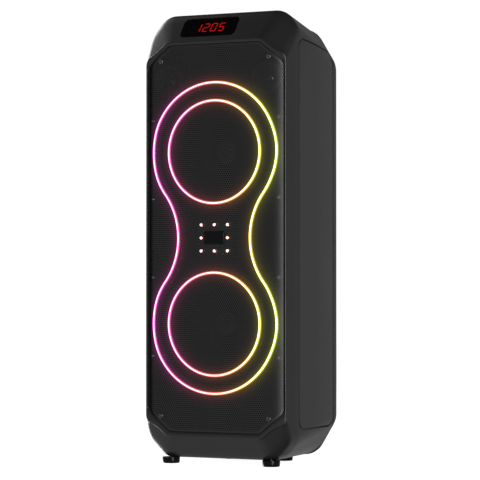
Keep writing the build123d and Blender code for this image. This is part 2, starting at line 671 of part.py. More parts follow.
SCREW_HEAD = 1.9
with BuildPart() as grille_screws:
    extrude(circles(GRILLE_Y, CORNERS, 4), amount=SCREW_HEAD)
    fillet(grille_screws.edges().group_by(Axis.Y)[0], 1.2)
    with BuildSketch(facing(FRONT_Y)):
        with Locations(*CORNERS):
            Rectangle(0.9, 4.4)
            Rectangle(4.4, 0.9)
    extrude(amount=-1.3, mode=Mode.SUBTRACT)
    extrude(circles(BAFFLE_BACK_Y - 2, CORNERS, 1.45), amount=BAFFLE_BACK_Y - 2 - GRILLE_Y)
    for plane in FLANK_PLANES:
        with BuildSketch(plane):
            Circle(2.5)
        extrude(amount=1.3, taper=18)
        with BuildSketch(plane):
            Circle(1.15)
        extrude(amount=-7)
keep(grille_screws, "grille_screws")

with BuildPart() as baffle_screws:
    extrude(circles(BAFFLE_FRONT_Y, BAFFLE_SCREWS, 2.8), amount=1.6)
    extrude(circles(BAFFLE_FRONT_Y, BAFFLE_SCREWS, 1.55), amount=BAFFLE_FRONT_Y - LEDGE_BACK_Y)
keep(baffle_screws, "baffle_screws")

with BuildPart() as driver_screws:
    extrude(circles(FLANGE_BACK_Y + 2.0, DRIVER_SCREWS, 3.2), amount=2.0)
    extrude(circles(FLANGE_BACK_Y, DRIVER_SCREWS, 1.55), amount=6.2)
keep(driver_screws, "driver_screws")

with BuildPart() as rear_screws:
    head_y = SEAM_Y + COVER_FLOOR
    extrude(circles(head_y, REAR_SCREWS, 4.0), amount=-2.6)
    extrude(circles(head_y, REAR_SCREWS, 1.65), amount=head_y - SEAM_Y + 18)
    extrude(circles(IO_FACE_Y, IO_SCREWS, 1.9), amount=-1.2)
    extrude(circles(IO_FACE_Y, IO_SCREWS, 1.15), amount=6)
keep(rear_screws, "rear_screws")

# ---------------------------------------------------------------- woofers
CONE_RIM_R = 61.0
VOICE_R = 13.0
SPIDER_LEDGE_Y = -40.0
SPIDER_WAVES = 5
GAP_R = 13.9
POLE_R = 12.2


def dome_middle(rim_r, rim_y, apex_y):
    """Half-way point, by radius, of a spherical dome from its apex on the axis to its rim."""
    rise = rim_y - apex_y
    radius = (rim_r * rim_r + rise * rise) / (2 * rise)
    return (rim_r / 2, apex_y + radius - sqrt(radius * radius - rim_r * rim_r / 4))


def half_section(centre, *outlines):
    """Half section of a turned piece; its points are (radius, depth)."""
    with BuildSketch(Plane((0, 0, centre))) as section:
        for outline in outlines:
            with BuildLine():
                Polyline(*outline, close=True)
            make_face()
    return section.sketch


def woofer_basket(centre):
    """Cast frame: mounting flange, sloping legs, spider ledge and back plate."""
    with BuildPart() as basket:
        outline = [
            (68, BAFFLE_BACK_Y), (82, BAFFLE_BACK_Y), (82, FLANGE_BACK_Y), (74, FLANGE_BACK_Y), (74, -64),
            (46, -36), (46, -30), (16, -30), (16, -32), (35, -32), (35, SPIDER_LEDGE_Y),
            (39, SPIDER_LEDGE_Y), (39, -34), (44, -34), (44, -37), (71.5, -64.5),
            (71.5, FLANGE_BACK_Y), (68, FLANGE_BACK_Y),
        ]
        revolve(half_section(centre, outline), axis=axis_y(0, centre))
        with BuildSketch(facing(-38.5)):
            with Locations((0, centre)):
                Circle(69)
                Circle(45.5, mode=Mode.SUBTRACT)
                for turn in range(0, 180, 60):
                    Rectangle(150, 13, rotation=turn, mode=Mode.SUBTRACT)
        extrude(amount=24, mode=Mode.SUBTRACT)
        spots = [spot for spot in DRIVER_SCREWS if abs(spot[1] - centre) < DRIVER_SCREW_CIRCLE]
        extrude(circles(-60, spots, 1.8), amount=12, mode=Mode.SUBTRACT)
        # terminal tab on the side nearest the amplifier
        toward = 1 if centre < IO_Z else -1
        with Locations((0, -33, centre + toward * 49)):
            Box(12, 6, 10)
    return basket


for name, centre in WOOFERS.items():
    with BuildPart() as cone:
        with BuildSketch(Plane((0, 0, centre))):
            with BuildLine():
                ThreePointArc((VOICE_R, -47.4), (38, -60.6), (57.5, -69.4))
                Polyline((57.5, -69.4), (CONE_RIM_R, -69.4), (CONE_RIM_R, -68.2), (58.0, -68.2))
                ThreePointArc((58.0, -68.2), (38, -59.1), (VOICE_R, -46.0))
                Line((VOICE_R, -46.0), (VOICE_R, -47.4))
            make_face()
        revolve(axis=axis_y(0, centre))
    keep(cone, f"woofer_{name}_cone")

    with BuildPart() as dust_cap:
        with BuildSketch(Plane((0, 0, centre))):
            with BuildLine():
                ThreePointArc((0, -56.4), dome_middle(16.0, -49.2, -56.4), (16.0, -49.2))
                Line((16.0, -49.2), (15.2, -48.7))
                ThreePointArc((15.2, -48.7), dome_middle(15.2, -48.7, -55.6), (0, -55.6))
                Line((0, -55.6), (0, -56.4))
            make_face()
        revolve(axis=axis_y(0, centre))
    keep(dust_cap, f"woofer_{name}_dust_cap")

    with BuildPart() as surround:
        with BuildSketch(Plane((0, 0, centre))):
            with BuildLine():
                Polyline((CONE_RIM_R + 0.8, -69.4), (58.3, -69.4), (58.3, -70.1), (CONE_RIM_R + 0.1, -70.1))
                ThreePointArc((CONE_RIM_R + 0.1, -70.1), (66.3, -75.3), (71.5, -70.8))
                Polyline((71.5, -70.8), (72.7, -70.8), (72.7, -70), (70.8, -70))
                ThreePointArc((70.8, -70), (66.3, -74.5), (CONE_RIM_R + 0.8, -69.4))
            make_face()
        revolve(axis=axis_y(0, centre))
    keep(surround, f"woofer_{name}_surround")

    with BuildPart() as spider:
        inner, outer = VOICE_R, 35.2
        pitch = (outer - inner) / SPIDER_WAVES
        with BuildSketch(Plane((0, 0, centre))):
            with BuildLine():
                for wave in range(SPIDER_WAVES):
                    left = inner + wave * pitch
                    swing = 1.4 if wave % 2 else -1.4
                    ThreePointArc(
                        (left, SPIDER_LEDGE_Y),
                        (left + pitch / 2, SPIDER_LEDGE_Y + swing),
                        (left + pitch, SPIDER_LEDGE_Y),
                    )
                Polyline((outer, SPIDER_LEDGE_Y), (38.5, SPIDER_LEDGE_Y), (38.5, SPIDER_LEDGE_Y - 0.6))
                Line((38.5, SPIDER_LEDGE_Y - 0.6), (outer, SPIDER_LEDGE_Y - 0.6))
                for wave in reversed(range(SPIDER_WAVES)):
                    left = inner + wave * pitch
                    swing = 0.8 if wave % 2 else -2.0
                    ThreePointArc(
                        (left + pitch, SPIDER_LEDGE_Y - 0.6),
                        (left + pitch / 2, SPIDER_LEDGE_Y + swing),
                        (left, SPIDER_LEDGE_Y - 0.6),
                    )
                Line((inner, SPIDER_LEDGE_Y - 0.6), (inner, SPIDER_LEDGE_Y))
            make_face()
        revolve(axis=axis_y(0, centre))
    keep(spider, f"woofer_{name}_spider")

    with BuildPart() as voice_coil:
        former = [(VOICE_R - 0.4, -47.4), (VOICE_R, -47.4), (VOICE_R, -22), (VOICE_R - 0.4, -22)]
        winding = [(VOICE_R, -31.5), (VOICE_R + 0.5, -31.5), (VOICE_R + 0.5, -24), (VOICE_R, -24)]
        revolve(half_section(centre, former, winding), axis=axis_y(0, centre))
    keep(voice_coil, f"woofer_{name}_voice_coil")

    keep(woofer_basket(centre), f"woofer_{name}_basket")

    with BuildPart() as magnet:
        revolve(half_section(centre, [(22, -26), (40, -26), (40, -13), (22, -13)]), axis=axis_y(0, centre))
    keep(magnet, f"woofer_{name}_magnet")

    with BuildPart() as pole_pieces:
        top_plate = [(GAP_R, -30), (35, -30), (35, -26), (GAP_R, -26)]
        yoke = [(4, -8), (4, -30), (POLE_R, -30), (POLE_R, -13), (35, -13), (35, -8)]
        revolve(half_section(centre, top_plate, yoke), axis=axis_y(0, centre))
    keep(pole_pieces, f"woofer_{name}_pole_pieces")

# ---------------------------------------------------------------- tweeters
DOME_R = 7.3
for name, side in SIDES.items():
    spot = (side * TWEETER_X, TWEETER_Z)
    tweeter_plane = Plane((spot[0], 0, spot[1]))
    with BuildPart() as horn:
        with BuildSketch(tweeter_plane):
            with BuildLine():
                Polyline((8.2, -62), (21.7, -62), (21.7, BAFFLE_FRONT_Y), (23.5, BAFFLE_FRONT_Y))
                Polyline((23.5, BAFFLE_FRONT_Y), (23.5, -77.3), (20, -77.3))
                ThreePointArc((20, -77.3), (13, -73.6), (8.2, -66))
                Line((8.2, -66), (8.2, -62))
            make_face()
        revolve(axis=axis_y(*spot))
    keep(horn, f"tweeter_horn_{name}")

    with BuildPart() as dome:
        with BuildSketch(tweeter_plane):
            with BuildLine():
                ThreePointArc((0, -69.0), dome_middle(DOME_R, -65, -69.0), (DOME_R, -65))
                Polyline((DOME_R, -65), (DOME_R, -57), (DOME_R - 0.4, -57), (DOME_R - 0.4, -64.6))
                ThreePointArc(
                    (DOME_R - 0.4, -64.6), dome_middle(DOME_R - 0.4, -64.6, -68.4), (0, -68.4)
                )
                Line((0, -68.4), (0, -69.0))
            make_face()
        revolve(axis=axis_y(*spot))
    keep(dome, f"tweeter_dome_{name}")

with BuildPart() as tweeter_motors:
    extrude(circles(-46, TWEETERS, 17), amount=16)
    extrude(circles(-56, TWEETERS, DOME_R + 0.5), amount=6, mode=Mode.SUBTRACT)
    extrude(circles(-56, TWEETERS, DOME_R - 0.9), amount=6)
keep(tweeter_motors, "tweeter_motors")

# ---------------------------------------------------------------- display
def on_plane(plane, size_x, size_y, radius):
    """Rounded rectangle in the middle of a plane."""
    with BuildSketch(plane) as outline:
        RectangleRounded(size_x, size_y, radius)
    return outline.sketch


with BuildPart() as display_window:
    extrude(on_plane(DISPLAY_PLANE.offset(-0.2), *DISPLAY_SIZE, 7.7), amount=-WINDOW_GLASS)
keep(display_window, "display_window")

with BuildPart() as display_module:
    extrude(on_plane(DISPLAY_PLANE.offset(-2.0), 80.2, 26.2, 3.5), amount=-6)
    extrude(on_plane(DISPLAY_PLANE.offset(-8.0), 94, 29, 2), amount=-1.6)
keep(display_module, "display_module")

# ---------------------------------------------------------------- top controls
BUTTON_SPOTS = [((place - 2.5) * BUTTON_PITCH, 0) for place in range(len(BUTTON_NAMES))]
PANEL_UNDER = -PANEL_DROP - PANEL_THICK
STANDOFFS = [(x, y) for x in (-59, 59) for y in (-14, 14)]


def discs(height, spots, radius):
    """Circles on the tilted top plane, moved along its normal by height."""
    with BuildSketch(TOP_PLANE.offset(height)) as outline:
        with Locations(*spots):
            Circle(radius)
    return outline.sketch


with BuildPart() as control_panel:
    extrude(on_plane(TOP_PLANE.offset(PANEL_UNDER), *PANEL_SIZE, 7.7), amount=PANEL_THICK)
    extrude(discs(PANEL_UNDER, BUTTON_SPOTS, BUTTON_R + BUTTON_GAP), amount=PANEL_THICK, mode=Mode.SUBTRACT)
    extrude(discs(PANEL_UNDER, STANDOFFS, 2.5), amount=-BUTTON_BOARD_DROP - PANEL_UNDER)
keep(control_panel, "control_panel")

for name, spot in zip(BUTTON_NAMES, BUTTON_SPOTS):
    with BuildPart() as button:
        extrude(discs(-4.9, [spot], BUTTON_R), amount=4.7)
        fillet(button.edges().group_by(Axis.Z)[-1], 0.6)
        extrude(discs(-4.9, [spot], 8.2), amount=1.15)
        extrude(discs(-6.6, [spot], 2.0), amount=1.7)
    keep(button, f"{name}_button")

with BuildPart() as button_board:
    extrude(on_plane(TOP_PLANE.offset(-BUTTON_BOARD_DROP), 124, 34, 2), amount=-1.6)
    with BuildSketch(TOP_PLANE.offset(-BUTTON_BOARD_DROP)):
        with Locations(*BUTTON_SPOTS):
            Rectangle(6, 6)
    extrude(amount=3.5)
    extrude(discs(-BUTTON_BOARD_DROP + 3.5, BUTTON_SPOTS, 1.6), amount=0.7)
keep(button_board, "button_board")

# ---------------------------------------------------------------- connection panel
KNOBS = {"mic_volume": (-45.0, IO_Z + 46), "echo": (-8.0, IO_Z + 46)}
KNOB_SHAFT_R = 3.0
KNOB_FIT = 0.05
ROCKER = (44.0, IO_Z + 42)
MIC_JACKS = [(-45.0, IO_Z + 2), (-8.0, IO_Z + 2)]
AUX_JACK = (24.0, IO_Z + 2)
USB_PORT = (50.0, IO_Z + 2)
CARD_SLOT = (40.0, IO_Z - 32)
POWER_INLET = (-34.0, IO_Z - 36)
JACK_BACK_Y = 55.6
BOARD_STANDOFFS = [(x, IO_Z + z) for x in (-62, 62) for z in (-59, 59)]

with BuildPart() as io_panel:
    extrude(rectangles(IO_FLOOR_Y, [(0, IO_Z)], IO_PLATE, IO_PLATE, 4.7), amount=IO_FLOOR_Y - IO_FACE_Y)
    extrude(circles(IO_FLOOR_Y, BOARD_STANDOFFS, 3), amount=IO_FLOOR_Y - JACK_BACK_Y)
    extrude(circles(IO_FACE_Y, list(KNOBS.values()), KNOB_SHAFT_R + KNOB_FIT), amount=3, mode=Mode.SUBTRACT)
    extrude(circles(IO_FACE_Y, MIC_JACKS, 6.0), amount=3, mode=Mode.SUBTRACT)
    extrude(circles(IO_FACE_Y, [AUX_JACK], 4.0), amount=3, mode=Mode.SUBTRACT)
    extrude(circles(IO_FACE_Y, [POWER_INLET], 6.0), amount=3, mode=Mode.SUBTRACT)
    extrude(circles(IO_FACE_Y, IO_SCREWS, 1.3), amount=3, mode=Mode.SUBTRACT)
    extrude(rectangles(IO_FACE_Y, [USB_PORT], 15, 7.2, 0.8), amount=3, mode=Mode.SUBTRACT)
    extrude(rectangles(IO_FACE_Y, [CARD_SLOT], 27, 4.4, 0.8), amount=3, mode=Mode.SUBTRACT)
    extrude(rectangles(IO_FACE_Y, [ROCKER], 22, 28, 1), amount=3, mode=Mode.SUBTRACT)
keep(io_panel, "io_panel")

with BuildPart() as io_jacks:
    body = IO_FLOOR_Y - JACK_BACK_Y
    extrude(rectangles(IO_FLOOR_Y, MIC_JACKS, 16, 16, 1), amount=body)
    extrude(circles(IO_FLOOR_Y, MIC_JACKS, 5.9), amount=-4.6)
    with BuildSketch(facing(IO_FACE_Y)):
        with Locations(*MIC_JACKS):
            RegularPolygon(8, 6)
    extrude(amount=-1.6)
    extrude(circles(IO_FACE_Y + 3, MIC_JACKS, 3.25), amount=21, mode=Mode.SUBTRACT)
    extrude(rectangles(IO_FLOOR_Y, [AUX_JACK], 10, 10, 1), amount=body)
    extrude(circles(IO_FLOOR_Y, [AUX_JACK], 3.9), amount=-3.6)
    extrude(circles(IO_FACE_Y + 3, [AUX_JACK], 1.8), amount=18, mode=Mode.SUBTRACT)
    extrude(rectangles(IO_FACE_Y, [USB_PORT], 14.6, 6.8, 0.6), amount=IO_FACE_Y - JACK_BACK_Y)
    extrude(rectangles(IO_FACE_Y, [USB_PORT], 12.5, 4.9, 0.4), amount=13, mode=Mode.SUBTRACT)
    tongue = (USB_PORT[0], USB_PORT[1] + 1.1)
    extrude(rectangles(IO_FACE_Y - 13, [tongue], 11.2, 1.6, 0.3), amount=-12)
    extrude(rectangles(IO_FACE_Y, [CARD_SLOT], 26.6, 4.0, 0.6), amount=IO_FACE_Y - JACK_BACK_Y)
    extrude(rectangles(IO_FACE_Y, [CARD_SLOT], 24.2, 2.4, 0.3), amount=15, mode=Mode.SUBTRACT)
    extrude(circles(IO_FACE_Y + 0.8, [POWER_INLET], 5.9), amount=IO_FACE_Y + 0.8 - JACK_BACK_Y)
    extrude(circles(IO_FACE_Y + 0.8, [POWER_INLET], 2.9), amount=12, mode=Mode.SUBTRACT)
    extrude(circles(IO_FACE_Y - 11.2, [POWER_INLET], 1.0), amount=-10.5)
    # potentiometer bodies under the knobs
    extrude(rectangles(69.0, list(KNOBS.values()), 16, 16, 1), amount=69.0 - JACK_BACK_Y)
keep(io_jacks, "io_jacks")

KNOB_R = 9.5
for name, spot in KNOBS.items():
    with BuildPart() as knob:
        extrude(circles(87.4, [spot], KNOB_R), amount=87.4 - IO_FACE_Y - 0.4)
        fillet(knob.edges().group_by(Axis.Y)[-1], 0.9)
        with BuildSketch(facing(90)):
            with Locations(spot):
                with PolarLocations(KNOB_R + 0.2, 18):
                    Circle(0.75)
        extrude(amount=9.5, mode=Mode.SUBTRACT)
        extrude(rectangles(90, [(spot[0], spot[1] + 6.2)], 1.2, 5.6, 0.4), amount=3.2, mode=Mode.SUBTRACT)
        extrude(circles(IO_FACE_Y + 0.5, [spot], KNOB_SHAFT_R), amount=10)
    keep(knob, f"{name}_knob")

# ---------------------------------------------------------------- power switch
ROCKER_PIVOT_Y = 75.0
ROCKER_PIN_R = 1.0
ROCKER_REST_TILT = 8.0
with BuildPart() as switch_frame:
    extrude(rectangles(IO_FACE_Y, [ROCKER], 26, 32, 2), amount=-1.5)
    extrude(rectangles(IO_FACE_Y, [ROCKER], 21.7, 27.7, 0.9), amount=IO_FACE_Y - 60)
    extrude(rectangles(IO_FACE_Y + 2, [ROCKER], 18, 24, 0.6), amount=15, mode=Mode.SUBTRACT)
    with BuildSketch(Plane.YZ.offset(ROCKER[0] - 10.4)):
        with Locations((ROCKER_PIVOT_Y, ROCKER[1])):
            Circle(ROCKER_PIN_R + 0.06)
    extrude(amount=20.8, mode=Mode.SUBTRACT)
keep(switch_frame, "power_switch_frame")

with BuildPart() as rocker:
    pivot = Plane((ROCKER[0], ROCKER_PIVOT_Y, ROCKER[1]), (0, 1, 0), (1, 0, 0))
    tilt = radians(ROCKER_REST_TILT)
    with BuildSketch(Plane(pivot.origin, (0, cos(tilt), sin(tilt)), (1, 0, 0))):
        with BuildLine():
            Polyline((7.2, -10.2), (7.2, -9.4), (4.6, 0), (7.2, 9.4), (7.2, 10.2), (-2, 10.2))
            ThreePointArc((-2, 10.2), (-4.6, 0), (-2, -10.2))
            Line((-2, -10.2), (7.2, -10.2))
        make_face()
    extrude(amount=8.6, both=True)
    with BuildSketch(pivot):
        Circle(ROCKER_PIN_R)
    extrude(amount=10.1, both=True)
keep(rocker, "power_rocker")

# ---------------------------------------------------------------- electronics
AMP_FRONT_Y = 54.0
LEAD_PLUGS = [(-55.0, IO_Z - 38), (-55.0, IO_Z - 56), (55.0, IO_Z - 56)]
FINS = 9
with BuildPart() as amp_board:
    extrude(rectangles(JACK_BACK_Y, [(0, IO_Z)], 140, 132, 2), amount=JACK_BACK_Y - AMP_FRONT_Y)
    extrude(rectangles(AMP_FRONT_Y, LEAD_PLUGS, 12, 12, 0.8), amount=12)
    # heat sink: a base with upright fins
    extrude(rectangles(AMP_FRONT_Y, [(0, IO_Z + 14)], 92, 60, 1), amount=4)
    fins = [((fin - (FINS - 1) / 2) * 11, IO_Z + 14) for fin in range(FINS)]
    extrude(rectangles(AMP_FRONT_Y - 4, fins, 2, 60, 0.5), amount=18)
    # smoothing capacitors
    extrude(circles(AMP_FRONT_Y, [(x, IO_Z - 38) for x in (-20, 2, 24)], 8), amount=22)
keep(amp_board, "amp_board")

BATTERY = (130.0, 70.0, 70.0)
BATTERY_Y = -10.0
PLUG_SIZE = 8.0
PLUG_TOP = FOOT_HEIGHT + WALL + BATTERY[2] + PLUG_SIZE - 1
with BuildPart() as battery_pack:
    with Locations((0, BATTERY_Y, FOOT_HEIGHT + WALL + BATTERY[2] / 2)):
        Box(*BATTERY)
    fillet(battery_pack.edges(), 4)
    with Locations((50, BATTERY_Y, PLUG_TOP - PLUG_SIZE / 2)):
        Box(12, 12, PLUG_SIZE)
keep(battery_pack, "battery_pack")

LEAD_R = 1.6
LEAD_ROUTES = [
    [
        (-55, 42, IO_Z - 38), (-55, 8, IO_Z - 38), (-30, -12, IO_Z - 36),
        (0, -16, WOOFERS["upper"] - 49), (0, -30, WOOFERS["upper"] - 49),
    ],
    [
        (-55, 42, IO_Z - 56), (-55, 14, IO_Z - 56), (-50, 0, IO_Z - 105), (-24, -4, IO_Z - 140),
        (0, -10, WOOFERS["lower"] + 49), (0, -30, WOOFERS["lower"] + 49),
    ],
    [
        (55, 42, IO_Z - 56), (55, 16, IO_Z - 56), (64, 8, IO_Z - 105), (64, 6, IO_Z - 165),
        (66, 4, IO_Z - 220), (62, 0, IO_Z - 275), (50, BATTERY_Y, IO_Z - 322), (50, BATTERY_Y, PLUG_TOP),
    ],
]


def bend_radii(route):
    """Largest tangent arc at each corner of a route."""
    points = [Vector(*point) for point in route]
    radii = []
    for before, corner, after in zip(points, points[1:], points[2:]):
        turn = radians((corner - before).get_angle(after - corner))
        shorter = min((corner - before).length, (after - corner).length)
        radii.append(0.45 * shorter / tan(turn / 2))
    return radii


with BuildPart() as speaker_leads:
    for route in LEAD_ROUTES:
        radii = bend_radii(route)
        with BuildLine() as path:
            FilletPolyline(*route, radius=radii)
        run = path.wire()
        with BuildSketch(Plane(run @ 0, z_dir=run % 0)):
            Circle(LEAD_R)
        sweep(path=run)
        print("lead length", round(run.length, 1), "radii", [round(radius, 1) for radius in radii])
keep(speaker_leads, "speaker_leads")
lead_section = pi * LEAD_R * LEAD_R
print("leads volume over section", round(speaker_leads.part.volume / lead_section, 1))
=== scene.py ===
import json
from math import atan2, cos, hypot, pi, radians, sin, sqrt, tan

import bmesh
import bpy
import numpy as np
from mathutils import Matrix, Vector
from mathutils.kdtree import KDTree


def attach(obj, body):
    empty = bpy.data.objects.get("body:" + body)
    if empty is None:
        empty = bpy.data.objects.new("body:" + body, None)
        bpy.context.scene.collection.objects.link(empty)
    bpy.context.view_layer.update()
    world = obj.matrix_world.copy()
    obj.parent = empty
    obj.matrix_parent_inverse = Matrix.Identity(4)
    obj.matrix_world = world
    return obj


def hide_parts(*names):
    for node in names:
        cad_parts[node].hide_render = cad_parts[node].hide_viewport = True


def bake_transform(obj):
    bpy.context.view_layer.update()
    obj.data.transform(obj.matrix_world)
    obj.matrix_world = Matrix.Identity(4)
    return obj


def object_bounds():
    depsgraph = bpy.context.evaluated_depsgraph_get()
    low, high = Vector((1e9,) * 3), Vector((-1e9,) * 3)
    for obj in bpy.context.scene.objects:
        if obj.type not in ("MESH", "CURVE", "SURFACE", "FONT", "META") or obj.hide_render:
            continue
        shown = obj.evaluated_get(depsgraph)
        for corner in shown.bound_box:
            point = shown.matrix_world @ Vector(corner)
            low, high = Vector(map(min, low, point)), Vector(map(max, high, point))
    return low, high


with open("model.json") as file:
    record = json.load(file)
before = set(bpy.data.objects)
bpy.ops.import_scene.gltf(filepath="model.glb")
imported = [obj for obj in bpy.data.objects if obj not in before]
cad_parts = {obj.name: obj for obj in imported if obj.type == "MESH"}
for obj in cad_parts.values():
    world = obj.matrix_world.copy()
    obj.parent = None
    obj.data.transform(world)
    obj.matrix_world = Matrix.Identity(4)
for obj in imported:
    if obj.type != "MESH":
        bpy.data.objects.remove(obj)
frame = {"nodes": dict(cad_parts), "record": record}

# A two-woofer party speaker. Shapes are worked out in millimetres and stored in metres,
# +Z up, the front faces -Y, the origin is the centre of the footprint on the floor.
MM = 0.001
CAD_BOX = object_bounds()

# ---------------------------------------------------------------- dimensions of the real object
FRONT_Y, BACK_Y, SEAM_Y, CREST_Y = -88.0, 88.0, 64.0, -51.0
HALF_W, MID_Z, HEIGHT, FOOT_HEIGHT = 118.0, 324.5, 650.0, 9.0
LIP_HALF_W, LIP_HALF_H = 112.7, 281.0
LIP_CUT, CREST_CUT, REAR_CUT = (39.0, 31.0), (22.0, 27.0), (31.0, 50.0)   # chamfers, (x, z)
LIP_RADIUS, CREST_RADIUS, REAR_RADIUS = 19.0, 32.0, 40.0
TOP_GROWTH, LOW_GROWTH = (43.0, 0.5), (21.0, 0.5)     # depth of the growth, straight share of it
GROWN_Y = -44.0                                       # behind this depth the shell has its full size
TOP_FALL, REAR_ROUND = 18.0, 20.0
ROUND_START_Y = BACK_Y - REAR_ROUND
TOP_TILT = atan2(TOP_FALL, ROUND_START_Y - CREST_Y)
WALL, LEDGE_Y, LIP_PROUD, LIP_ROUND, RIM_RADIUS = 4.0, -64.0, 2.0, 2.6, 76.0
GRILLE = (110.5, 277.4, (38.5, 30.5), 14.0)           # half width, half height, chamfer, corner
GRILLE_Y, SHEET, FLANK_X, FLANK_RADIUS = -86.0, 1.2, 88.0, 32.6
POCKET_GAP = 0.3                                      # play round the grille
WOOFER_RISE = 123.0                                   # of each woofer from the middle
WOOFERS = {"upper": MID_Z + WOOFER_RISE, "lower": MID_Z - WOOFER_RISE}
INNER_RING_R, OUTER_LOBE_R, WAIST_X = 73.4, 99.3, 162.0
WAIST_R = hypot(WAIST_X, WOOFER_RISE) - OUTER_LOBE_R
TUBE_HALF, TUBE_PROUD, TUBE_SUNK = 2.5, 2.0, 0.4
SIDES = {"left": -1, "right": 1}


# ---------------------------------------------------------------- outlines
def rounded(points, radius, arc=10, straight=8):
    """Closed outline with rounded corners; the same corners always give the same number of points."""
    corners = []
    for i, point in enumerate(points):
        corner = Vector(point)
        back = (Vector(points[i - 1]) - corner).normalized()
        ahead = (Vector(points[(i + 1) % len(points)]) - corner).normalized()
        half = back.angle(ahead) / 2
        centre = corner + (back + ahead).normalized() * (radius / sin(half))
        start = corner + back * (radius / tan(half)) - centre
        end = corner + ahead * (radius / tan(half)) - centre
        first = atan2(start.y, start.x)
        turn = (atan2(end.y, end.x) - first + pi) % (2 * pi) - pi
        turns = [first + turn * k / arc for k in range(arc + 1)]
        corners.append([centre + Vector((cos(angle), sin(angle))) * radius for angle in turns])
    outline = []
    for i, corner in enumerate(corners):
        following = corners[(i + 1) % len(corners)][0]
        outline += corner
        outline += [corner[-1].lerp(following, k / straight) for k in range(1, straight)]
    return np.array([tuple(point) for point in outline])


def octagon(half_w, high, low, cut, radius):
    """Rectangle with chamfered and rounded corners, as (x, z) points."""
    inner = half_w - cut[0]
    right = [(inner, high), (half_w, high - cut[1]), (half_w, low + cut[1]), (inner, low)]
    return rounded(right + [(-x, z) for x, z in reversed(right)], radius)


def growth(y, span, straight):
    """0 at the front lip, 1 where the shell has its full size."""
    bend = span * (1 - straight)
    slope = 1 / (span - bend / 2)
    run = y - FRONT_Y
    if run >= span:
        return 1.0
    return slope * run if run <= span - bend else 1 - slope * (span - run) ** 2 / (2 * bend)


def rear_share(y):
    """0 up to the crest, 1 where the rear edge starts to round."""
    return max(0.0, y - CREST_Y) / (ROUND_START_Y - CREST_Y)


def fall(y):
    """How far the top has come down at depth y."""
    return TOP_FALL * rear_share(y)


def three_stage(lip, crest, rear, y):
    """A size of the corners at depth y: it runs from lip to crest, then on to rear."""
    return lip + (crest - lip) * growth(y, *TOP_GROWTH) + (rear - crest) * rear_share(y)


def section(y, inset=0.0):
    """Outline of the shell at depth y, moved inwards by inset."""
    top, low = growth(y, *TOP_GROWTH), growth(y, *LOW_GROWTH)
    chamfer = [three_stage(*sizes, y) for sizes in zip(LIP_CUT, CREST_CUT, REAR_CUT)]
    spare = inset * (chamfer[0] + chamfer[1] - hypot(*chamfer))
    lip_high, lip_low = MID_Z + LIP_HALF_H, MID_Z - LIP_HALF_H
    return octagon(
        LIP_HALF_W + (HALF_W - LIP_HALF_W) * top - inset,
        lip_high + (HEIGHT - lip_high) * top - fall(y) - inset,
        lip_low + (FOOT_HEIGHT - lip_low) * low + inset,
        (chamfer[0] - spare / chamfer[1], chamfer[1] - spare / chamfer[0]),
        max(three_stage(LIP_RADIUS, CREST_RADIUS, REAR_RADIUS, y) - inset, 4.0),
    )


def front_outline(spread):
    """Outline of the grille made larger by spread."""
    half_w, half_h, chamfer, radius = GRILLE
    high, low = MID_Z + half_h + spread, MID_Z - half_h - spread
    return octagon(half_w + spread, high, low, chamfer, max(radius + spread, 2.0))


def dish(x, proud=0.0, flank=FLANK_RADIUS):
    """Depth of the grille face at x, moved forwards by proud; it falls back at both flanks."""
    over = np.maximum(np.abs(x) - FLANK_X, 0.0)
    radius = flank + proud
    return GRILLE_Y + flank - np.sqrt(np.maximum(radius * radius - over * over, 1.0))


def at_depth(outline, y):
    """(x, z) points put at depth y, one number or one for each point."""
    depth = np.broadcast_to(np.asarray(y, float), len(outline))
    return np.column_stack([outline[:, 0], depth, outline[:, 1]])


# ---------------------------------------------------------------- mesh helpers
def piece(name, verts, faces, body="enclosure", slot=None, stands_for=(), smooth=35.0):
    """New object from points in millimetres, smooth except at edges sharper than an angle."""
    mesh = bpy.data.meshes.new(name)
    corners = [list(map(int, face)) for face in faces]
    mesh.from_pydata((np.asarray(verts, float) * MM).tolist(), [], corners)
    mesh.validate()
    made = placed(name, mesh)
    shade(made, smooth)
    return dress(made, body, slot, stands_for)


def placed(name, data):
    """New object in the scene."""
    made = bpy.data.objects.new(name, data)
    bpy.context.scene.collection.objects.link(made)
    return made


def dress(made, body, slot, stands_for=()):
    """Give a piece its body, its finish and the CAD nodes that it stands for."""
    if slot:
        made.data.materials.clear()
        made.data.materials.append(FINISH[slot])
    if body:
        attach(made, body)
    if stands_for:
        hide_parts(*stands_for)
    return made


def shade(made, angle=35.0):
    """Smooth shading with sharp edges above an angle in degrees."""
    mesh = made.data
    mesh.polygons.foreach_set("use_smooth", [True] * len(mesh.polygons))
    mesh.set_sharp_from_angle(angle=radians(angle))
    mesh.update()


def settle(made, *modifiers):
    """Apply modifiers given as (type, settings) and keep the result as the mesh."""
    for kind, settings in modifiers:
        modifier = made.modifiers.new(kind.title(), kind)
        for key, value in settings.items():
            setattr(modifier, key, value)
    bpy.context.view_layer.update()
    evaluated = made.evaluated_get(bpy.context.evaluated_depsgraph_get())
    result = bpy.data.meshes.new_from_object(evaluated)
    made.modifiers.clear()
    made.data = result


def clean(made, merge=0.002, flip=True):
    """Merge doubled points and, with flip, turn all faces outwards."""
    work = bmesh.new()
    work.from_mesh(made.data)
    bmesh.ops.remove_doubles(work, verts=work.verts, dist=merge * MM)
    if flip:
        bmesh.ops.recalc_face_normals(work, faces=work.faces)
    work.to_mesh(made.data)
    work.free()
    return made


def points_of(made):
    """Points of a piece, in millimetres."""
    places = np.zeros(len(made.data.vertices) * 3, np.float32)
    made.data.vertices.foreach_get("co", places)
    return places.reshape(-1, 3) / MM


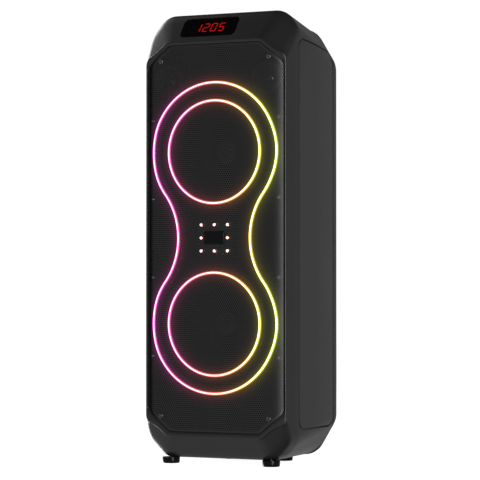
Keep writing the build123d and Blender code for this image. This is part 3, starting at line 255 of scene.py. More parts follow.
def cut(made, cutters, operation="DIFFERENCE"):
    """Cut shapes out of a piece, or keep only what is inside them, and drop the cutters."""
    for cutter in cutters:
        settle(made, ("BOOLEAN", {"object": cutter, "operation": operation, "solver": "EXACT"}))
        bpy.data.objects.remove(cutter)


def grid_faces(rows, columns, loop_rows):
    """Quads between rings of points; with loop_rows the last ring joins the first."""
    faces = []
    for r in range(rows if loop_rows else rows - 1):
        here, there = r * columns, (r + 1) % rows * columns
        for c in range(columns):
            n = (c + 1) % columns
            faces.append((here + c, here + n, there + n, there + c))
    return faces


def skin(name, rings, loop_rows=True, caps=False, **extra):
    """Surface through rings of points. It closes on itself, or can have a cap at each end."""
    rings = [np.asarray(ring, float) for ring in rings]
    count = len(rings[0])
    total = len(rings) * count
    faces = grid_faces(len(rings), count, loop_rows)
    if caps:
        faces += [tuple(range(count)), tuple(range(total - 1, total - count - 1, -1))]
    return clean(piece(name, np.vstack(rings), faces, **extra))


def prism(outline, low, high, place):
    """Cutter: a closed outline pushed from low to high; place turns (a, b, height) into a point."""
    rings = [[place(a, b, height) for a, b in outline] for height in (low, high)]
    return skin("cutter", rings, loop_rows=False, caps=True)


def rectangle(half_x, half_y, radius, centre=(0.0, 0.0), arc=8):
    """Rounded rectangle outline."""
    corners = [(half_x, half_y), (half_x, -half_y), (-half_x, -half_y), (-half_x, half_y)]
    return rounded(corners, radius, arc, 1) + np.array(centre)


def circle(radius, centre=(0.0, 0.0), steps=64):
    """Circle outline."""
    turns = np.arange(steps) * (2 * pi / steps)
    return np.column_stack([radius * np.cos(turns), radius * np.sin(turns)]) + np.array(centre)


def lathe(name, profile, spot, steps=96, closed=True, **extra):
    """Turned piece about an axis along Y through spot; profile points are (radius, depth)."""
    rings = [at_depth(circle(radius, spot, steps), depth) for radius, depth in profile]
    return skin(name, rings, loop_rows=closed, **extra)


def bow(start, end, rise, count):
    """Points on a half-sine bow from start to end, lifted by rise at its middle."""
    share = np.linspace(0.0, 1.0, count)
    straight = np.outer(1 - share, start) + np.outer(share, end)
    straight[:, 1] += rise * np.sin(pi * share) ** 0.75
    return [tuple(point) for point in straight]


# ---------------------------------------------------------------- finishes
EDGE_LIGHTENING = 1.35                           # how much lighter convex edges are
PAINTED_GLOW_POWER = 0.11                         # strength of the painted glow of the tubes' light on the grille beside them
CROWN_FOCUS, EDGE_GLOW = 2.6, 0.3          # how narrow a tube's bright crown is, and its least glow
WHITE_HOT = (1.0, 0.8, 0.85, 1.0)
MILKY_DARK = (0.05, 0.045, 0.045, 1.0)


def put(tree, kind, sockets=None, **options):
    """New shader node with its settings; a socket's value is a number, a colour or another socket."""
    made = tree.nodes.new("ShaderNode" + kind)
    for key, value in options.items():
        setattr(made, key, value)
    for key, value in (sockets or {}).items():
        if isinstance(value, bpy.types.NodeSocket):
            tree.links.new(value, made.inputs[key])
        else:
            made.inputs[key].default_value = value
    return made


def blank(name, **sockets):
    """New material, its tree, its shader and the coordinates of the piece."""
    material = bpy.data.materials.new(name)
    material.use_nodes = True
    tree = material.node_tree
    shader = tree.nodes["Principled BSDF"]
    for key, value in sockets.items():
        shader.inputs[key.replace("_", " ")].default_value = value
    place = put(tree, "TexCoord").outputs["Object"]
    return material, tree, shader, place


def noise(tree, place, size, detail=3.0, rough=0.5):
    """Noise whose blotches are about size millimetres across."""
    sockets = {"Vector": place, "Scale": 1000.0 / size, "Detail": detail, "Roughness": rough}
    return put(tree, "TexNoise", sockets).outputs["Fac"]


def shift(tree, value, low, high, start=0.0, end=1.0):
    """Move a value from the range start..end to low..high, clamped to it."""
    sockets = {"Value": value, "From Min": start, "From Max": end, "To Min": low, "To Max": high}
    return put(tree, "MapRange", sockets).outputs["Result"]


def combined(tree, operation, first, second):
    """Sum, product or other operation on two values."""
    return put(tree, "Math", {0: first, 1: second}, operation=operation).outputs[0]


def stretched(tree, place, scale):
    """Coordinates drawn out along the axes."""
    return put(tree, "Mapping", {"Vector": place, "Scale": scale}).outputs[0]


def mixed(tree, share, first, second):
    """Blend of two colours."""
    made = put(tree, "Mix", data_type="RGBA")
    for socket, value in ((made.inputs[0], share), (made.inputs[6], first), (made.inputs[7], second)):
        if isinstance(value, bpy.types.NodeSocket):
            tree.links.new(value, socket)
        else:
            socket.default_value = value
    return made.outputs[2]


def shade_of(colour, factor):
    """A colour made lighter or darker."""
    return (*[min(part * factor, 1.0) for part in colour], 1.0)


def bumped(tree, shader, height, depth, edge=0.0):
    """Relief of depth millimetres, on edges softened by edge millimetres."""
    sockets = {"Height": height, "Distance": depth * MM, "Strength": 1.0}
    if edge:
        sockets["Normal"] = put(tree, "Bevel", {"Radius": edge * MM}, samples=4).outputs["Normal"]
    tree.links.new(put(tree, "Bump", sockets).outputs["Normal"], shader.inputs["Normal"])


def moulded(name, colour, rough=0.5, grain=0.7, depth=0.03, tone=0.12, **sockets):
    """Moulded plastic or rubber: fine grain, faint uneven tone, lighter convex edges."""
    material, tree, shader, place = blank(name, **sockets)
    cloud = noise(tree, place, 60.0, 2.0)
    cells = put(tree, "TexVoronoi", {"Vector": place, "Scale": 1000.0 / grain}, feature="SMOOTH_F1")
    speck = noise(tree, place, grain * 2.2, 4.0, 0.6)
    height = combined(tree, "ADD", cells.outputs["Distance"], speck)
    base = mixed(tree, cloud, shade_of(colour, 1 - tone), shade_of(colour, 1 + tone))
    # convex edges, found by pointiness, are made lighter in colour
    pointed = put(tree, "NewGeometry").outputs["Pointiness"]
    edge_share = shift(tree, pointed, 0.0, 1.0, 0.52, 0.62)
    base = mixed(tree, edge_share, base, shade_of(colour, EDGE_LIGHTENING))
    tree.links.new(base, shader.inputs["Base Color"])
    rough_patches = shift(tree, speck, rough - 0.06, rough + 0.06, 0.3, 0.7)
    tree.links.new(rough_patches, shader.inputs["Roughness"])
    bumped(tree, shader, height, depth, 0.5)
    return material


def metal(name, colour, rough, stretch=(1.0, 30.0, 1.0), size=6.0, depth=0.01):
    """Machined or plated metal with fine directional marks and light tarnish."""
    material, tree, shader, place = blank(name, Metallic=1.0)
    lines = noise(tree, stretched(tree, place, stretch), size, 6.0, 0.65)
    stain = noise(tree, place, 12.0, 3.0)
    base = mixed(tree, stain, shade_of(colour, 0.75), shade_of(colour, 1.15))
    tree.links.new(base, shader.inputs["Base Color"])
    rough_lines = shift(tree, lines, rough - 0.12, rough + 0.12, 0.3, 0.7)
    tree.links.new(rough_lines, shader.inputs["Roughness"])
    bumped(tree, shader, lines, depth, 0.3)
    return material


def coated_steel(name, colour):
    """Powder-coated steel sheet with a faint orange-peel skin; the tubes' light on it is a painted
    glow, set as emission.
    """
    material, tree, shader, place = blank(name, Specular_IOR_Level=0.55)
    peel = noise(tree, place, 0.9, 3.0, 0.6)
    cloud = noise(tree, place, 45.0, 2.0)
    base = mixed(tree, cloud, shade_of(colour, 0.86), shade_of(colour, 1.14))
    tree.links.new(base, shader.inputs["Base Color"])
    tree.links.new(shift(tree, peel, 0.36, 0.5, 0.3, 0.7), shader.inputs["Roughness"])
    # painted glow: emission in the lights' colours, strongest on the sheet next to the tubes
    tree.links.new(glow_hue(tree, place), shader.inputs["Emission Color"])
    painted_glow = put(tree, "Attribute", attribute_name="painted_glow").outputs["Fac"]
    tree.links.new(combined(tree, "MULTIPLY", painted_glow, PAINTED_GLOW_POWER), shader.inputs["Emission Strength"])
    bumped(tree, shader, peel, 0.02)
    return material


def woven(name, colour, pitch=0.8):
    """Treated cloth: crossing threads and a resin stain."""
    material, tree, shader, place = blank(name)
    waves = {"Vector": place, "Scale": 1000.0 / pitch / 20.0, "Distortion": 1.2, "Detail": 1.0}
    warp, weft = [put(tree, "TexWave", waves, bands_direction=way).outputs["Fac"] for way in ("X", "Z")]
    threads = combined(tree, "MULTIPLY", warp, weft)
    stain = shift(tree, noise(tree, place, 9.0), 0.0, 0.6)
    base = mixed(tree, threads, shade_of(colour, 0.6), shade_of(colour, 1.2))
    base = mixed(tree, stain, base, shade_of(colour, 0.7))
    tree.links.new(base, shader.inputs["Base Color"])
    shader.inputs["Roughness"].default_value = 0.9
    bumped(tree, shader, threads, 0.08)
    return material


def pressed_paper(name, colour):
    """Woofer cone: pressed fibre pulp under a thin dark coating."""
    material, tree, shader, place = blank(name, Specular_IOR_Level=0.35)
    fibre = noise(tree, stretched(tree, place, (1.0, 2.5, 6.0)), 3.0, 8.0, 0.75)
    mottle = shift(tree, noise(tree, place, 14.0, 3.0), 0.0, 0.5)
    base = mixed(tree, fibre, shade_of(colour, 0.6), shade_of(colour, 1.5))
    base = mixed(tree, mottle, base, shade_of(colour, 0.8))
    tree.links.new(base, shader.inputs["Base Color"])
    tree.links.new(shift(tree, fibre, 0.55, 0.8), shader.inputs["Roughness"])
    bumped(tree, shader, fibre, 0.12)
    return material


def circuit(name, colour):
    """Circuit board: solder mask over copper runs, with small pads."""
    material, tree, shader, place = blank(name, Coat_Weight=0.3, Coat_Roughness=0.2)
    run_cells = {"Vector": place, "Scale": 260.0, "Randomness": 0.6}
    runs = put(tree, "TexVoronoi", run_cells, feature="DISTANCE_TO_EDGE", distance="EUCLIDEAN")
    pads = put(tree, "TexVoronoi", {"Vector": place, "Scale": 180.0, "Randomness": 0.3})
    copper = shift(tree, runs.outputs["Distance"], 1.0, 0.0, 0.05, 0.09)
    base = mixed(tree, copper, shade_of(colour, 0.8), shade_of(colour, 2.2))
    spot = shift(tree, pads.outputs["Distance"], 1.0, 0.0, 0.12, 0.16)
    tree.links.new(mixed(tree, spot, base, (0.62, 0.6, 0.55, 1.0)), shader.inputs["Base Color"])
    tree.links.new(shift(tree, spot, 0.42, 0.25), shader.inputs["Roughness"])
    tree.links.new(spot, shader.inputs["Metallic"])
    bumped(tree, shader, copper, 0.04)
    return material


GLOW_REACH = 110.0      # half the width that the lights' colours run across
GLOW_STOPS = [          # x, colour
    (-100.0, (1.0, 0.055, 0.62)),
    (-62.0, (1.0, 0.075, 0.40)),
    (-28.0, (1.0, 0.115, 0.17)),
    (8.0, (1.0, 0.19, 0.075)),
    (42.0, (1.0, 0.42, 0.04)),
    (72.0, (1.0, 0.86, 0.045)),
    (100.0, (0.86, 1.0, 0.05)),
]


def glow_hue(tree, place):
    """Colour of the lights, from pink on the left to yellow on the right."""
    along = put(tree, "SeparateXYZ", {"Vector": place}).outputs["X"]
    reach = GLOW_REACH * MM
    ramp = put(tree, "ValToRGB", {"Fac": shift(tree, along, 0.0, 1.0, -reach, reach)})
    stops = ramp.color_ramp.elements
    for x, colour in GLOW_STOPS:
        stop = stops.new((x + GLOW_REACH) / (2 * GLOW_REACH))
        stop.color = (*colour, 1.0)
    stops.remove(stops[0])
    stops.remove(stops[-1])
    return ramp.outputs["Color"]


def lit_tube(name, power):
    """Milky light guide, brightest and whitest along its crown."""
    material, tree, shader, place = blank(name, Roughness=0.35)
    hue = glow_hue(tree, place)
    milky = noise(tree, place, 7.0, 3.0)
    tree.links.new(mixed(tree, 0.8, hue, MILKY_DARK), shader.inputs["Base Color"])
    edge = put(tree, "Attribute", attribute_name="rim").outputs["Fac"]
    crown = combined(tree, "POWER", shift(tree, edge, 1.0, 0.0), CROWN_FOCUS)
    whitened = mixed(tree, shift(tree, crown, 0.0, 0.5), hue, WHITE_HOT)
    tree.links.new(whitened, shader.inputs["Emission Color"])
    uneven = shift(tree, milky, power * 0.9, power * 1.1, 0.3, 0.7)
    core = combined(tree, "MULTIPLY", crown, uneven)
    strength = combined(tree, "ADD", core, EDGE_GLOW)
    tree.links.new(strength, shader.inputs["Emission Strength"])
    return material


def lit_digit(name):
    """Red display segment."""
    material, tree, shader, place = blank(name, Roughness=0.4)
    cell = noise(tree, place, 2.0, 2.0)
    red = mixed(tree, cell, (0.9, 0.02, 0.015, 1.0), (1.0, 0.05, 0.03, 1.0))
    tree.links.new(red, shader.inputs["Emission Color"])
    shader.inputs["Base Color"].default_value = (0.4, 0.02, 0.02, 1.0)
    tree.links.new(shift(tree, cell, 3.6, 4.6, 0.3, 0.7), shader.inputs["Emission Strength"])
    return material


def smoked(name):
    """Smoked red window: dark tinted clear plastic with fine hairline marks."""
    material, tree, shader, place = blank(name, Transmission_Weight=1.0, IOR=1.46)
    marks = noise(tree, stretched(tree, place, (1.0, 14.0, 14.0)), 30.0, 5.0)
    tint = mixed(tree, noise(tree, place, 40.0), (0.16, 0.03, 0.032, 1.0), (0.2, 0.04, 0.04, 1.0))
    tree.links.new(tint, shader.inputs["Base Color"])
    tree.links.new(shift(tree, marks, 0.05, 0.12, 0.4, 0.8), shader.inputs["Roughness"])
    shader.inputs["Specular IOR Level"].default_value = 0.25
    bumped(tree, shader, marks, 0.001)
    return material


TURNED, EVEN = (1.0, 12.0, 1.0), (1.0, 1.0, 1.0)       # how a metal's marks are drawn out
FINISH = {                                             # slot: colour, roughness, grain, relief
    "shell_plastic": moulded("shell_plastic", (0.018, 0.018, 0.019), 0.33, 0.8, 0.01),
    "side_panel_plastic": moulded(
        "side_panel_plastic", (0.026, 0.026, 0.027), 0.38, 0.6, 0.012, tone=0.07,
    ),
    "handle_plastic": moulded("handle_plastic", (0.028, 0.028, 0.03), 0.55, 1.2, 0.05),
    "port_plastic": moulded("port_plastic", (0.022, 0.022, 0.024), 0.35, 1.0, 0.01),
    "foot_rubber": moulded(
        "foot_rubber", (0.003, 0.003, 0.003), 0.25, 0.5, 0.01, Specular_IOR_Level=0.15,
    ),
    "dark_screw_steel": metal("dark_screw_steel", (0.16, 0.16, 0.165), 0.32),
    "baffle_plastic": moulded("baffle_plastic", (0.022, 0.022, 0.023), 0.6, 1.4, 0.06),
    "grille_steel": coated_steel("grille_steel", (0.015, 0.015, 0.0158)),
    "board": circuit("board", (0.012, 0.07, 0.03)),
    "light_tube": lit_tube("light_tube", 6.0),
    "light_pip": lit_tube("light_pip", 2.2),
    "badge_plastic": moulded(
        "badge_plastic", (0.003, 0.003, 0.0032), 0.2, 2.0, 0.004, Specular_IOR_Level=0.2,
    ),
    "horn_plastic": moulded("horn_plastic", (0.2, 0.2, 0.205), 0.4, 1.0, 0.02),
    "tweeter_dome": metal("tweeter_dome", (0.62, 0.62, 0.65), 0.28, EVEN, 3.0),
    "motor_steel": metal("motor_steel", (0.5, 0.5, 0.5), 0.4, TURNED),
    "smoked_window": smoked("smoked_window"),
    "display_plastic": moulded("display_plastic", (0.014, 0.007, 0.008), 0.5, 0.6, 0.01),
    "control_plastic": moulded(
        "control_plastic", (0.02, 0.02, 0.021), 0.24, 1.6, 0.006, Coat_Weight=0.5, Coat_Roughness=0.12,
    ),
    "io_plastic": moulded("io_plastic", (0.034, 0.034, 0.036), 0.5, 1.0, 0.04),
    "jack_plastic": moulded("jack_plastic", (0.045, 0.045, 0.046), 0.3, 1.5, 0.01),
    "knob_plastic": moulded("knob_plastic", (0.05, 0.05, 0.052), 0.42, 0.8, 0.02),
    "switch_plastic": moulded("switch_plastic", (0.028, 0.028, 0.029), 0.25, 1.0, 0.01),
    "battery_wrap": moulded("battery_wrap", (0.02, 0.05, 0.2), 0.3, 4.0, 0.12, Coat_Weight=0.4),
    "lead_sleeve": moulded("lead_sleeve", (0.3, 0.02, 0.02), 0.4, 0.5, 0.01),
    "button_rubber": moulded("button_rubber", (0.03, 0.03, 0.031), 0.55, 0.5, 0.03),
    "basket_metal": metal("basket_metal", (0.09, 0.09, 0.095), 0.5, EVEN, 2.0, 0.03),
    "magnet_ferrite": moulded("magnet_ferrite", (0.035, 0.033, 0.032), 0.6, 1.0, 0.08),
    "spider_cloth": woven("spider_cloth", (0.42, 0.27, 0.09)),
    "coil_former": metal("coil_former", (0.6, 0.3, 0.12), 0.35, (1.0, 80.0, 1.0), 8.0),
    "cone_paper": pressed_paper("cone_paper", (0.035, 0.034, 0.034)),
    "surround_rubber": moulded(
        "surround_rubber", (0.022, 0.022, 0.023), 0.45, 0.5, 0.03, Sheen_Weight=0.15,
    ),
}
DIGIT_RED = lit_digit("lit_digit")
CAP_PAPER = pressed_paper("cap_paper", (0.2, 0.2, 0.2))      # dust caps, lighter than their cones

node_slots = {entry["node"]: entry["material_slot"] for entry in frame["record"]["subparts"]}
for node_name, node_object in frame["nodes"].items():
    for place in node_object.material_slots:
        is_cap = node_name.endswith("dust_cap")
        place.material = CAP_PAPER if is_cap else FINISH[node_slots[node_name]]

# ---------------------------------------------------------------- cabinet shell
CABINET_REAR = SEAM_Y - 0.15               # a hair short of the rear cover
STATIONS = np.concatenate([np.linspace(FRONT_Y, GROWN_Y, 97), [CABINET_REAR]])
TABLE = np.array([section(y) for y in STATIONS])
OUTLINE_COUNT = TABLE.shape[1]
WALL_DEPTHS = (-62.0, -58.0, -55.0, CREST_Y)     # of the inner wall's rings, from the ledge back


def on_shell(depths):
    """Point of every outline line of the shell at its own depth."""
    place = np.clip(np.searchsorted(STATIONS, depths) - 1, 0, len(STATIONS) - 2)
    share = ((depths - STATIONS[place]) / (STATIONS[place + 1] - STATIONS[place]))[:, None]
    line = np.arange(OUTLINE_COUNT)
    flat = TABLE[place, line] * (1 - share) + TABLE[place + 1, line] * share
    return np.column_stack([flat[:, 0], depths, flat[:, 1]])


# the lip follows the dish of the grille, and its depth and its x depend on each other
lip_depth = np.full(OUTLINE_COUNT, FRONT_Y)
for _ in range(12):
    lip_depth = dish(on_shell(lip_depth)[:, 0], LIP_PROUD, RIM_RADIUS)
outer_edge = on_shell(lip_depth + LIP_ROUND)
pocket = front_outline(POCKET_GAP)
inner_edge = at_depth(pocket, dish(pocket[:, 0], LIP_PROUD, RIM_RADIUS) + LIP_ROUND)


def shell_rings(rear_y, rows=18):
    """Rings of the shell from its rear edge over the lip, then back along the inner wall."""
    rings = [on_shell(np.full(OUTLINE_COUNT, y)) for y in (rear_y, 40.0, 10.0, -20.0, GROWN_Y)]
    for k in range(1, rows):
        rings.append(on_shell(GROWN_Y + (lip_depth + LIP_ROUND - GROWN_Y) * k / rows))
    for turn in np.linspace(0.0, pi, 9):
        share = (1 - cos(turn)) / 2
        ring = outer_edge * (1 - share) + inner_edge * share
        ring[:, 1] -= LIP_ROUND * sin(turn)
        rings.append(ring)
    rings.append(at_depth(pocket, LEDGE_Y))
    rings += [at_depth(section(y, WALL), y) for y in (*WALL_DEPTHS, rear_y)]
    return rings


cabinet = skin(
    "cabinet_shell", shell_rings(CABINET_REAR), slot="shell_plastic", stands_for=["cabinet"],
)

# ---------------------------------------------------------------- side panels, set in a groove
PANEL_SKIN, PANEL_BED, GROOVE = 2.0, 0.6, 2.4     # thickness, gap behind it, gap round it
PANEL_FRONT, PANEL_REAR, PANEL_LOW, PANEL_HIGH = -50.0, 60.0, 54.0, 607.0
PANEL_SLANT, PANEL_CORNER, PANEL_BEVEL = 10.0, 11.0, 1.4


def panel_outline(spread):
    """Side panel seen from the side, as (y, z) points."""
    front, rear = PANEL_FRONT - spread, PANEL_REAR + spread
    low, high = PANEL_LOW - spread, PANEL_HIGH + spread
    corners = [(front, low), (rear, low), (rear, high - PANEL_SLANT), (front, high)]
    return rounded(corners, PANEL_CORNER + spread, 10, 1)


def side_prism(side, spread):
    """Cutter with a side panel's outline, through the side of the shell."""
    return prism(panel_outline(spread), 85.0, 125.0, lambda y, z, x: (side * x, y, z))


def skin_band(name, inner, outer):
    """Closed band of the shell's skin, between two insets; it reaches past both ends of a panel."""
    depths = [*np.linspace(-57.0, GROWN_Y, 16), 0.0, SEAM_Y + 0.5]
    outside = [at_depth(section(y, outer), y) for y in depths]
    return skin(name, outside + [at_depth(section(y, inner), y) for y in reversed(depths)])


for side_name, side in SIDES.items():
    band = skin_band("cutter", PANEL_SKIN + PANEL_BED, -3.0)
    cut(band, [side_prism(side, GROOVE)], "INTERSECT")
    cut(cabinet, [band])
    panel = skin_band(f"side_panel_{side_name}_skin", PANEL_SKIN, 0.0)
    cut(panel, [side_prism(side, 0.0)], "INTERSECT")
    settle(panel, ("BEVEL", {
        "width": PANEL_BEVEL * MM, "segments": 3, "limit_method": "ANGLE",
        "angle_limit": radians(55.0), "harden_normals": False,
    }))
    dress(panel, "enclosure", "side_panel_plastic", [f"side_panel_{side_name}"])
    shade(panel, 50.0)

# ---------------------------------------------------------------- display and top controls
WINDOW, WINDOW_BACK = (89.0, 35.0), (81.0, 27.0)       # seat of the window, hole behind it
CONTROLS, CONTROLS_BACK = (136.0, 46.0), (128.0, 38.0)  # seat of the top controls, hole below
SEAT_GAP = 0.3
DISPLAY_LOW, DISPLAY_HIGH = Vector((-81.9, MID_Z + 289.48)), Vector((-61.5, MID_Z + 317.85))
DISPLAY_X, CONTROLS_Y = -15.0, 8.0
display_run = (DISPLAY_HIGH - DISPLAY_LOW).normalized()
DISPLAY_MIDDLE = Vector((DISPLAY_X, *((DISPLAY_LOW + DISPLAY_HIGH) / 2)))
DISPLAY_UP = Vector((0.0, display_run.x, display_run.y))
DISPLAY_OUT = Vector((0.0, -display_run.y, display_run.x))
TOP_MIDDLE = Vector((0.0, CONTROLS_Y, HEIGHT - fall(CONTROLS_Y)))
TOP_UP = Vector((0.0, cos(TOP_TILT), -sin(TOP_TILT)))
TOP_OUT = Vector((0.0, sin(TOP_TILT), cos(TOP_TILT)))


def on_display(a, b, height):
    """Point on the plane of the display window."""
    return tuple(DISPLAY_MIDDLE + Vector((a, 0.0, 0.0)) + DISPLAY_UP * b + DISPLAY_OUT * height)


def on_top(a, b, height):
    """Point on the tilted top face."""
    return tuple(TOP_MIDDLE + Vector((a, 0.0, 0.0)) + TOP_UP * b + TOP_OUT * height)


def opening(size, radius, low, high, place, gap=0.0):
    """Cutter for a rectangular seat or hole, larger by gap all round."""
    return prism(rectangle(size[0] / 2 + gap, size[1] / 2 + gap, radius), low, high, place)


cut(cabinet, [
    opening(WINDOW, 8.0, -2.0, 12.0, on_display, SEAT_GAP),
    opening(WINDOW_BACK, 4.0, -12.0, 2.0, on_display),
    opening(CONTROLS, 8.0, -3.4, 8.0, on_top, SEAT_GAP),
    opening(CONTROLS_BACK, 5.0, -12.0, 0.0, on_top),
])
shade(cabinet, 30.0)
settle(cabinet, ("WEIGHTED_NORMAL", {"keep_sharp": True}))

# ---------------------------------------------------------------- perforated grille
PITCH, HOLE_R, RIM_BAND, RIM_OVERLAP = 3.3, 1.02, 3.0, 1.2
HEX_R = PITCH / sqrt(3)
PAINTED_GLOW_START, PAINTED_GLOW_FADE = 2.3, 5.0         # where the painted glow of the tubes' light starts to fade, and how fast


def bent(u):
    """x of a point of the sheet at arc length u from the middle."""
    over = np.maximum(np.abs(u) - FLANK_X, 0.0) / FLANK_RADIUS
    return np.sign(u) * (np.minimum(np.abs(u), FLANK_X) + FLANK_RADIUS * np.sin(over))


def sheet_normals(x):
    """Outward normals of the dished sheet at x."""
    lean = np.sign(x) * np.maximum(np.abs(x) - FLANK_X, 0.0) / FLANK_RADIUS
    return np.column_stack([lean, -np.sqrt(1 - lean * lean), np.zeros_like(x)])


def inside(points, outline):
    """Which (x, z) points lie inside a convex outline."""
    middle = outline.mean(0)
    keep = np.ones(len(points), bool)
    for first, second in zip(outline, np.roll(outline, -1, 0)):
        edge = second - first
        if hypot(*edge) < 1e-6:
            continue
        normal = np.array([edge[1], -edge[0]])
        if np.dot(normal, middle - first) < 0:
            normal = -normal
        keep &= (points - first) @ normal > 0
    return keep


def perforated(name, low, high):
    """Part of the punched sheet between two heights: hexagonal cells with a six-sided hole each."""
    row_step = PITCH * sqrt(3) / 2
    spots = []
    for row in np.arange(round((low - MID_Z) / row_step), round((high - MID_Z) / row_step)):
        offset, z = (row % 2) * PITCH / 2, MID_Z + row * row_step
        spots += [(column * PITCH + offset, z) for column in range(-35, 36)]
    spots = np.array(spots)
    field = front_outline(-RIM_BAND + RIM_OVERLAP)
    spots = spots[inside(np.column_stack([bent(spots[:, 0]), spots[:, 1]]), field)]
    turns = radians(30.0) + np.arange(6) * pi / 3
    corner = np.column_stack([np.cos(turns), np.sin(turns)])
    cells, holes = spots[:, None] + corner * HEX_R, spots[:, None] + corner * HOLE_R
    flat = np.concatenate([cells, holes], 1).reshape(-1, 2)
    x = bent(flat[:, 0])
    front = np.column_stack([x, dish(x), flat[:, 1]])
    back = front - sheet_normals(x) * SHEET
    # each cell has six corners and then the six of its hole
    around = [(k, (k + 1) % 6) for k in range(6)]
    base = (np.arange(len(spots)) * 12)[:, None, None]
    total = len(spots) * 12
    face = (base + np.array([(k, n, 6 + n, 6 + k) for k, n in around])[None]).reshape(-1, 4)
    wall = (base + np.array([(6 + k, 6 + n) for k, n in around])[None]).reshape(-1, 2)
    walls = np.column_stack([wall, wall[:, ::-1] + total])
    faces = np.vstack([face, face[:, ::-1] + total, walls]).tolist()
    made = piece(
        name, np.vstack([front, back]), faces,
        slot="grille_steel", stands_for=["grille"], smooth=40.0,
    )
    clean(made, 0.02, flip=False)
    # painted glow of the tubes: each point of the sheet gets an emission share that fades with distance
    # from the nearest tube
    places = points_of(made)[:, [0, 2]]
    near = np.concatenate([nearest(part) for part in np.array_split(places, 40)])
    painted_glow = np.exp(-np.maximum(near - PAINTED_GLOW_START, 0.0) / PAINTED_GLOW_FADE)
    attribute = made.data.attributes.new("painted_glow", "FLOAT", "POINT")
    attribute.data.foreach_set("value", painted_glow.astype(np.float32))


def figure_eight(steps=48):
    """Path of the outer tube: two lobes with a pinched waist, arcs that meet without a corner."""
    share = OUTER_LOBE_R / hypot(WAIST_X, WOOFER_RISE)
    join = atan2(-WOOFER_RISE * share, WAIST_X * share)
    bend = atan2(WOOFER_RISE * (1 - share), WAIST_X * (share - 1))
    lobe_turns = np.linspace(join, pi - join, 3 * steps)[:-1]
    waist_turns = np.linspace(pi - bend, bend - pi, steps)[:-1]
    half = [(OUTER_LOBE_R * cos(t), WOOFER_RISE + OUTER_LOBE_R * sin(t)) for t in lobe_turns]
    half += [(WAIST_R * cos(t) - WAIST_X, WAIST_R * sin(t)) for t in waist_turns]
    return np.array([(x, MID_Z + z) for x, z in half + [(-x, -z) for x, z in half]])


TUBE_PATHS = {
    f"ring_{woofer}": circle(INNER_RING_R, (0.0, centre), 160) for woofer, centre in WOOFERS.items()
}
TUBE_PATHS["outline"] = figure_eight()
LIT_POINTS = np.vstack(list(TUBE_PATHS.values()))


def nearest(points):
    """Distance of each (x, z) point from the middle line of the nearest light tube."""
    away = points[:, None, :] - LIT_POINTS[None, :, :]
    return np.sqrt((away * away).sum(2).min(1))


BANDS = np.linspace(MID_Z - 280.0, MID_Z + 280.0, 5)
for number, (low, high) in enumerate(zip(BANDS, BANDS[1:]), 1):
    perforated(f"grille_sheet_{number}", low, high)

RIM_PROFILE = (      # spread, how far proud of the sheet's face
    (0.0, -SHEET), (0.0, -0.5), (-0.15, -0.1), (-0.5, 0.05), (-RIM_BAND, 0.05), (-RIM_BAND, -SHEET),
)
rim_rings = []
for spread, proud in RIM_PROFILE:
    outline = front_outline(spread)
    rim_rings.append(at_depth(outline, dish(outline[:, 0], proud)))
skin("grille_rim", rim_rings, slot="grille_steel", stands_for=["grille"])


# ---------------------------------------------------------------- light tubes
def tube(name, path, node):
    """Rounded light guide along a closed (x, z) path, standing on the grille sheet."""
    ahead = np.roll(path, -1, 0) - np.roll(path, 1, 0)
    ahead /= np.linalg.norm(ahead, axis=1)[:, None]
    side_way = np.column_stack([ahead[:, 1], -ahead[:, 0]])
    rings, rim = [], []
    ground = dish(path[:, 0])
    for turn in np.linspace(0.0, pi, 13):
        across = TUBE_HALF * cos(turn)
        rings.append(at_depth(path + side_way * across, ground - TUBE_PROUD * sin(turn) ** 0.7))
        rim.append(abs(cos(turn)))
    for across in (-0.9 * TUBE_HALF, 0.9 * TUBE_HALF):
        rings.append(at_depth(path + side_way * across, ground + TUBE_SUNK))
        rim.append(1.0)
    made = skin(name, rings, slot="light_tube", stands_for=[node], smooth=70.0)
    # merging may have changed the order of the points, so each takes its rim value by place
    every, value = np.vstack(rings), np.repeat(rim, len(path))
    tree = KDTree(len(every))
    for index, point in enumerate(every):
        tree.insert(point, index)
    tree.balance()
    attribute = made.data.attributes.new("rim", "FLOAT", "POINT")
    near = [float(value[tree.find(point)[1]]) for point in points_of(made)]
    attribute.data.foreach_set("value", near)


for path_name, path in TUBE_PATHS.items():
    node = "led_outline_ring" if path_name == "outline" else f"led_{path_name}"
    tube(f"light_{path_name}", path, node)

# ---------------------------------------------------------------- pips and blank badge
AXIS_R = 0.001                             # stands for the axis, where a ring can't be a point
PIP_PITCH, PIP_R, PIP_RISE, PIP_BACK_Y = (21.2, 18.7), 2.0, 1.4, -84.0
PIP_SHOULDER_Y = GRILLE_Y - 0.2
PIP_PLACES = [(i, j) for i in (-1, 0, 1) for j in (-1, 0, 1) if (i, j) != (0, 0)]
dome = [(AXIS_R, PIP_SHOULDER_Y - PIP_RISE)]
for turn in map(radians, (20, 40, 60, 75, 90)):
    dome.append((PIP_R * sin(turn), PIP_SHOULDER_Y - PIP_RISE * cos(turn)))
dome += [(PIP_R, PIP_BACK_Y), (AXIS_R, PIP_BACK_Y)]
for number, (column, row) in enumerate(PIP_PLACES, 1):
    spot = (column * PIP_PITCH[0], MID_Z + row * PIP_PITCH[1])
    lathe(
        f"light_pip_{number}", dome, spot, 32, closed=False,
        slot="light_pip", stands_for=["led_pips"], smooth=50.0,
    )

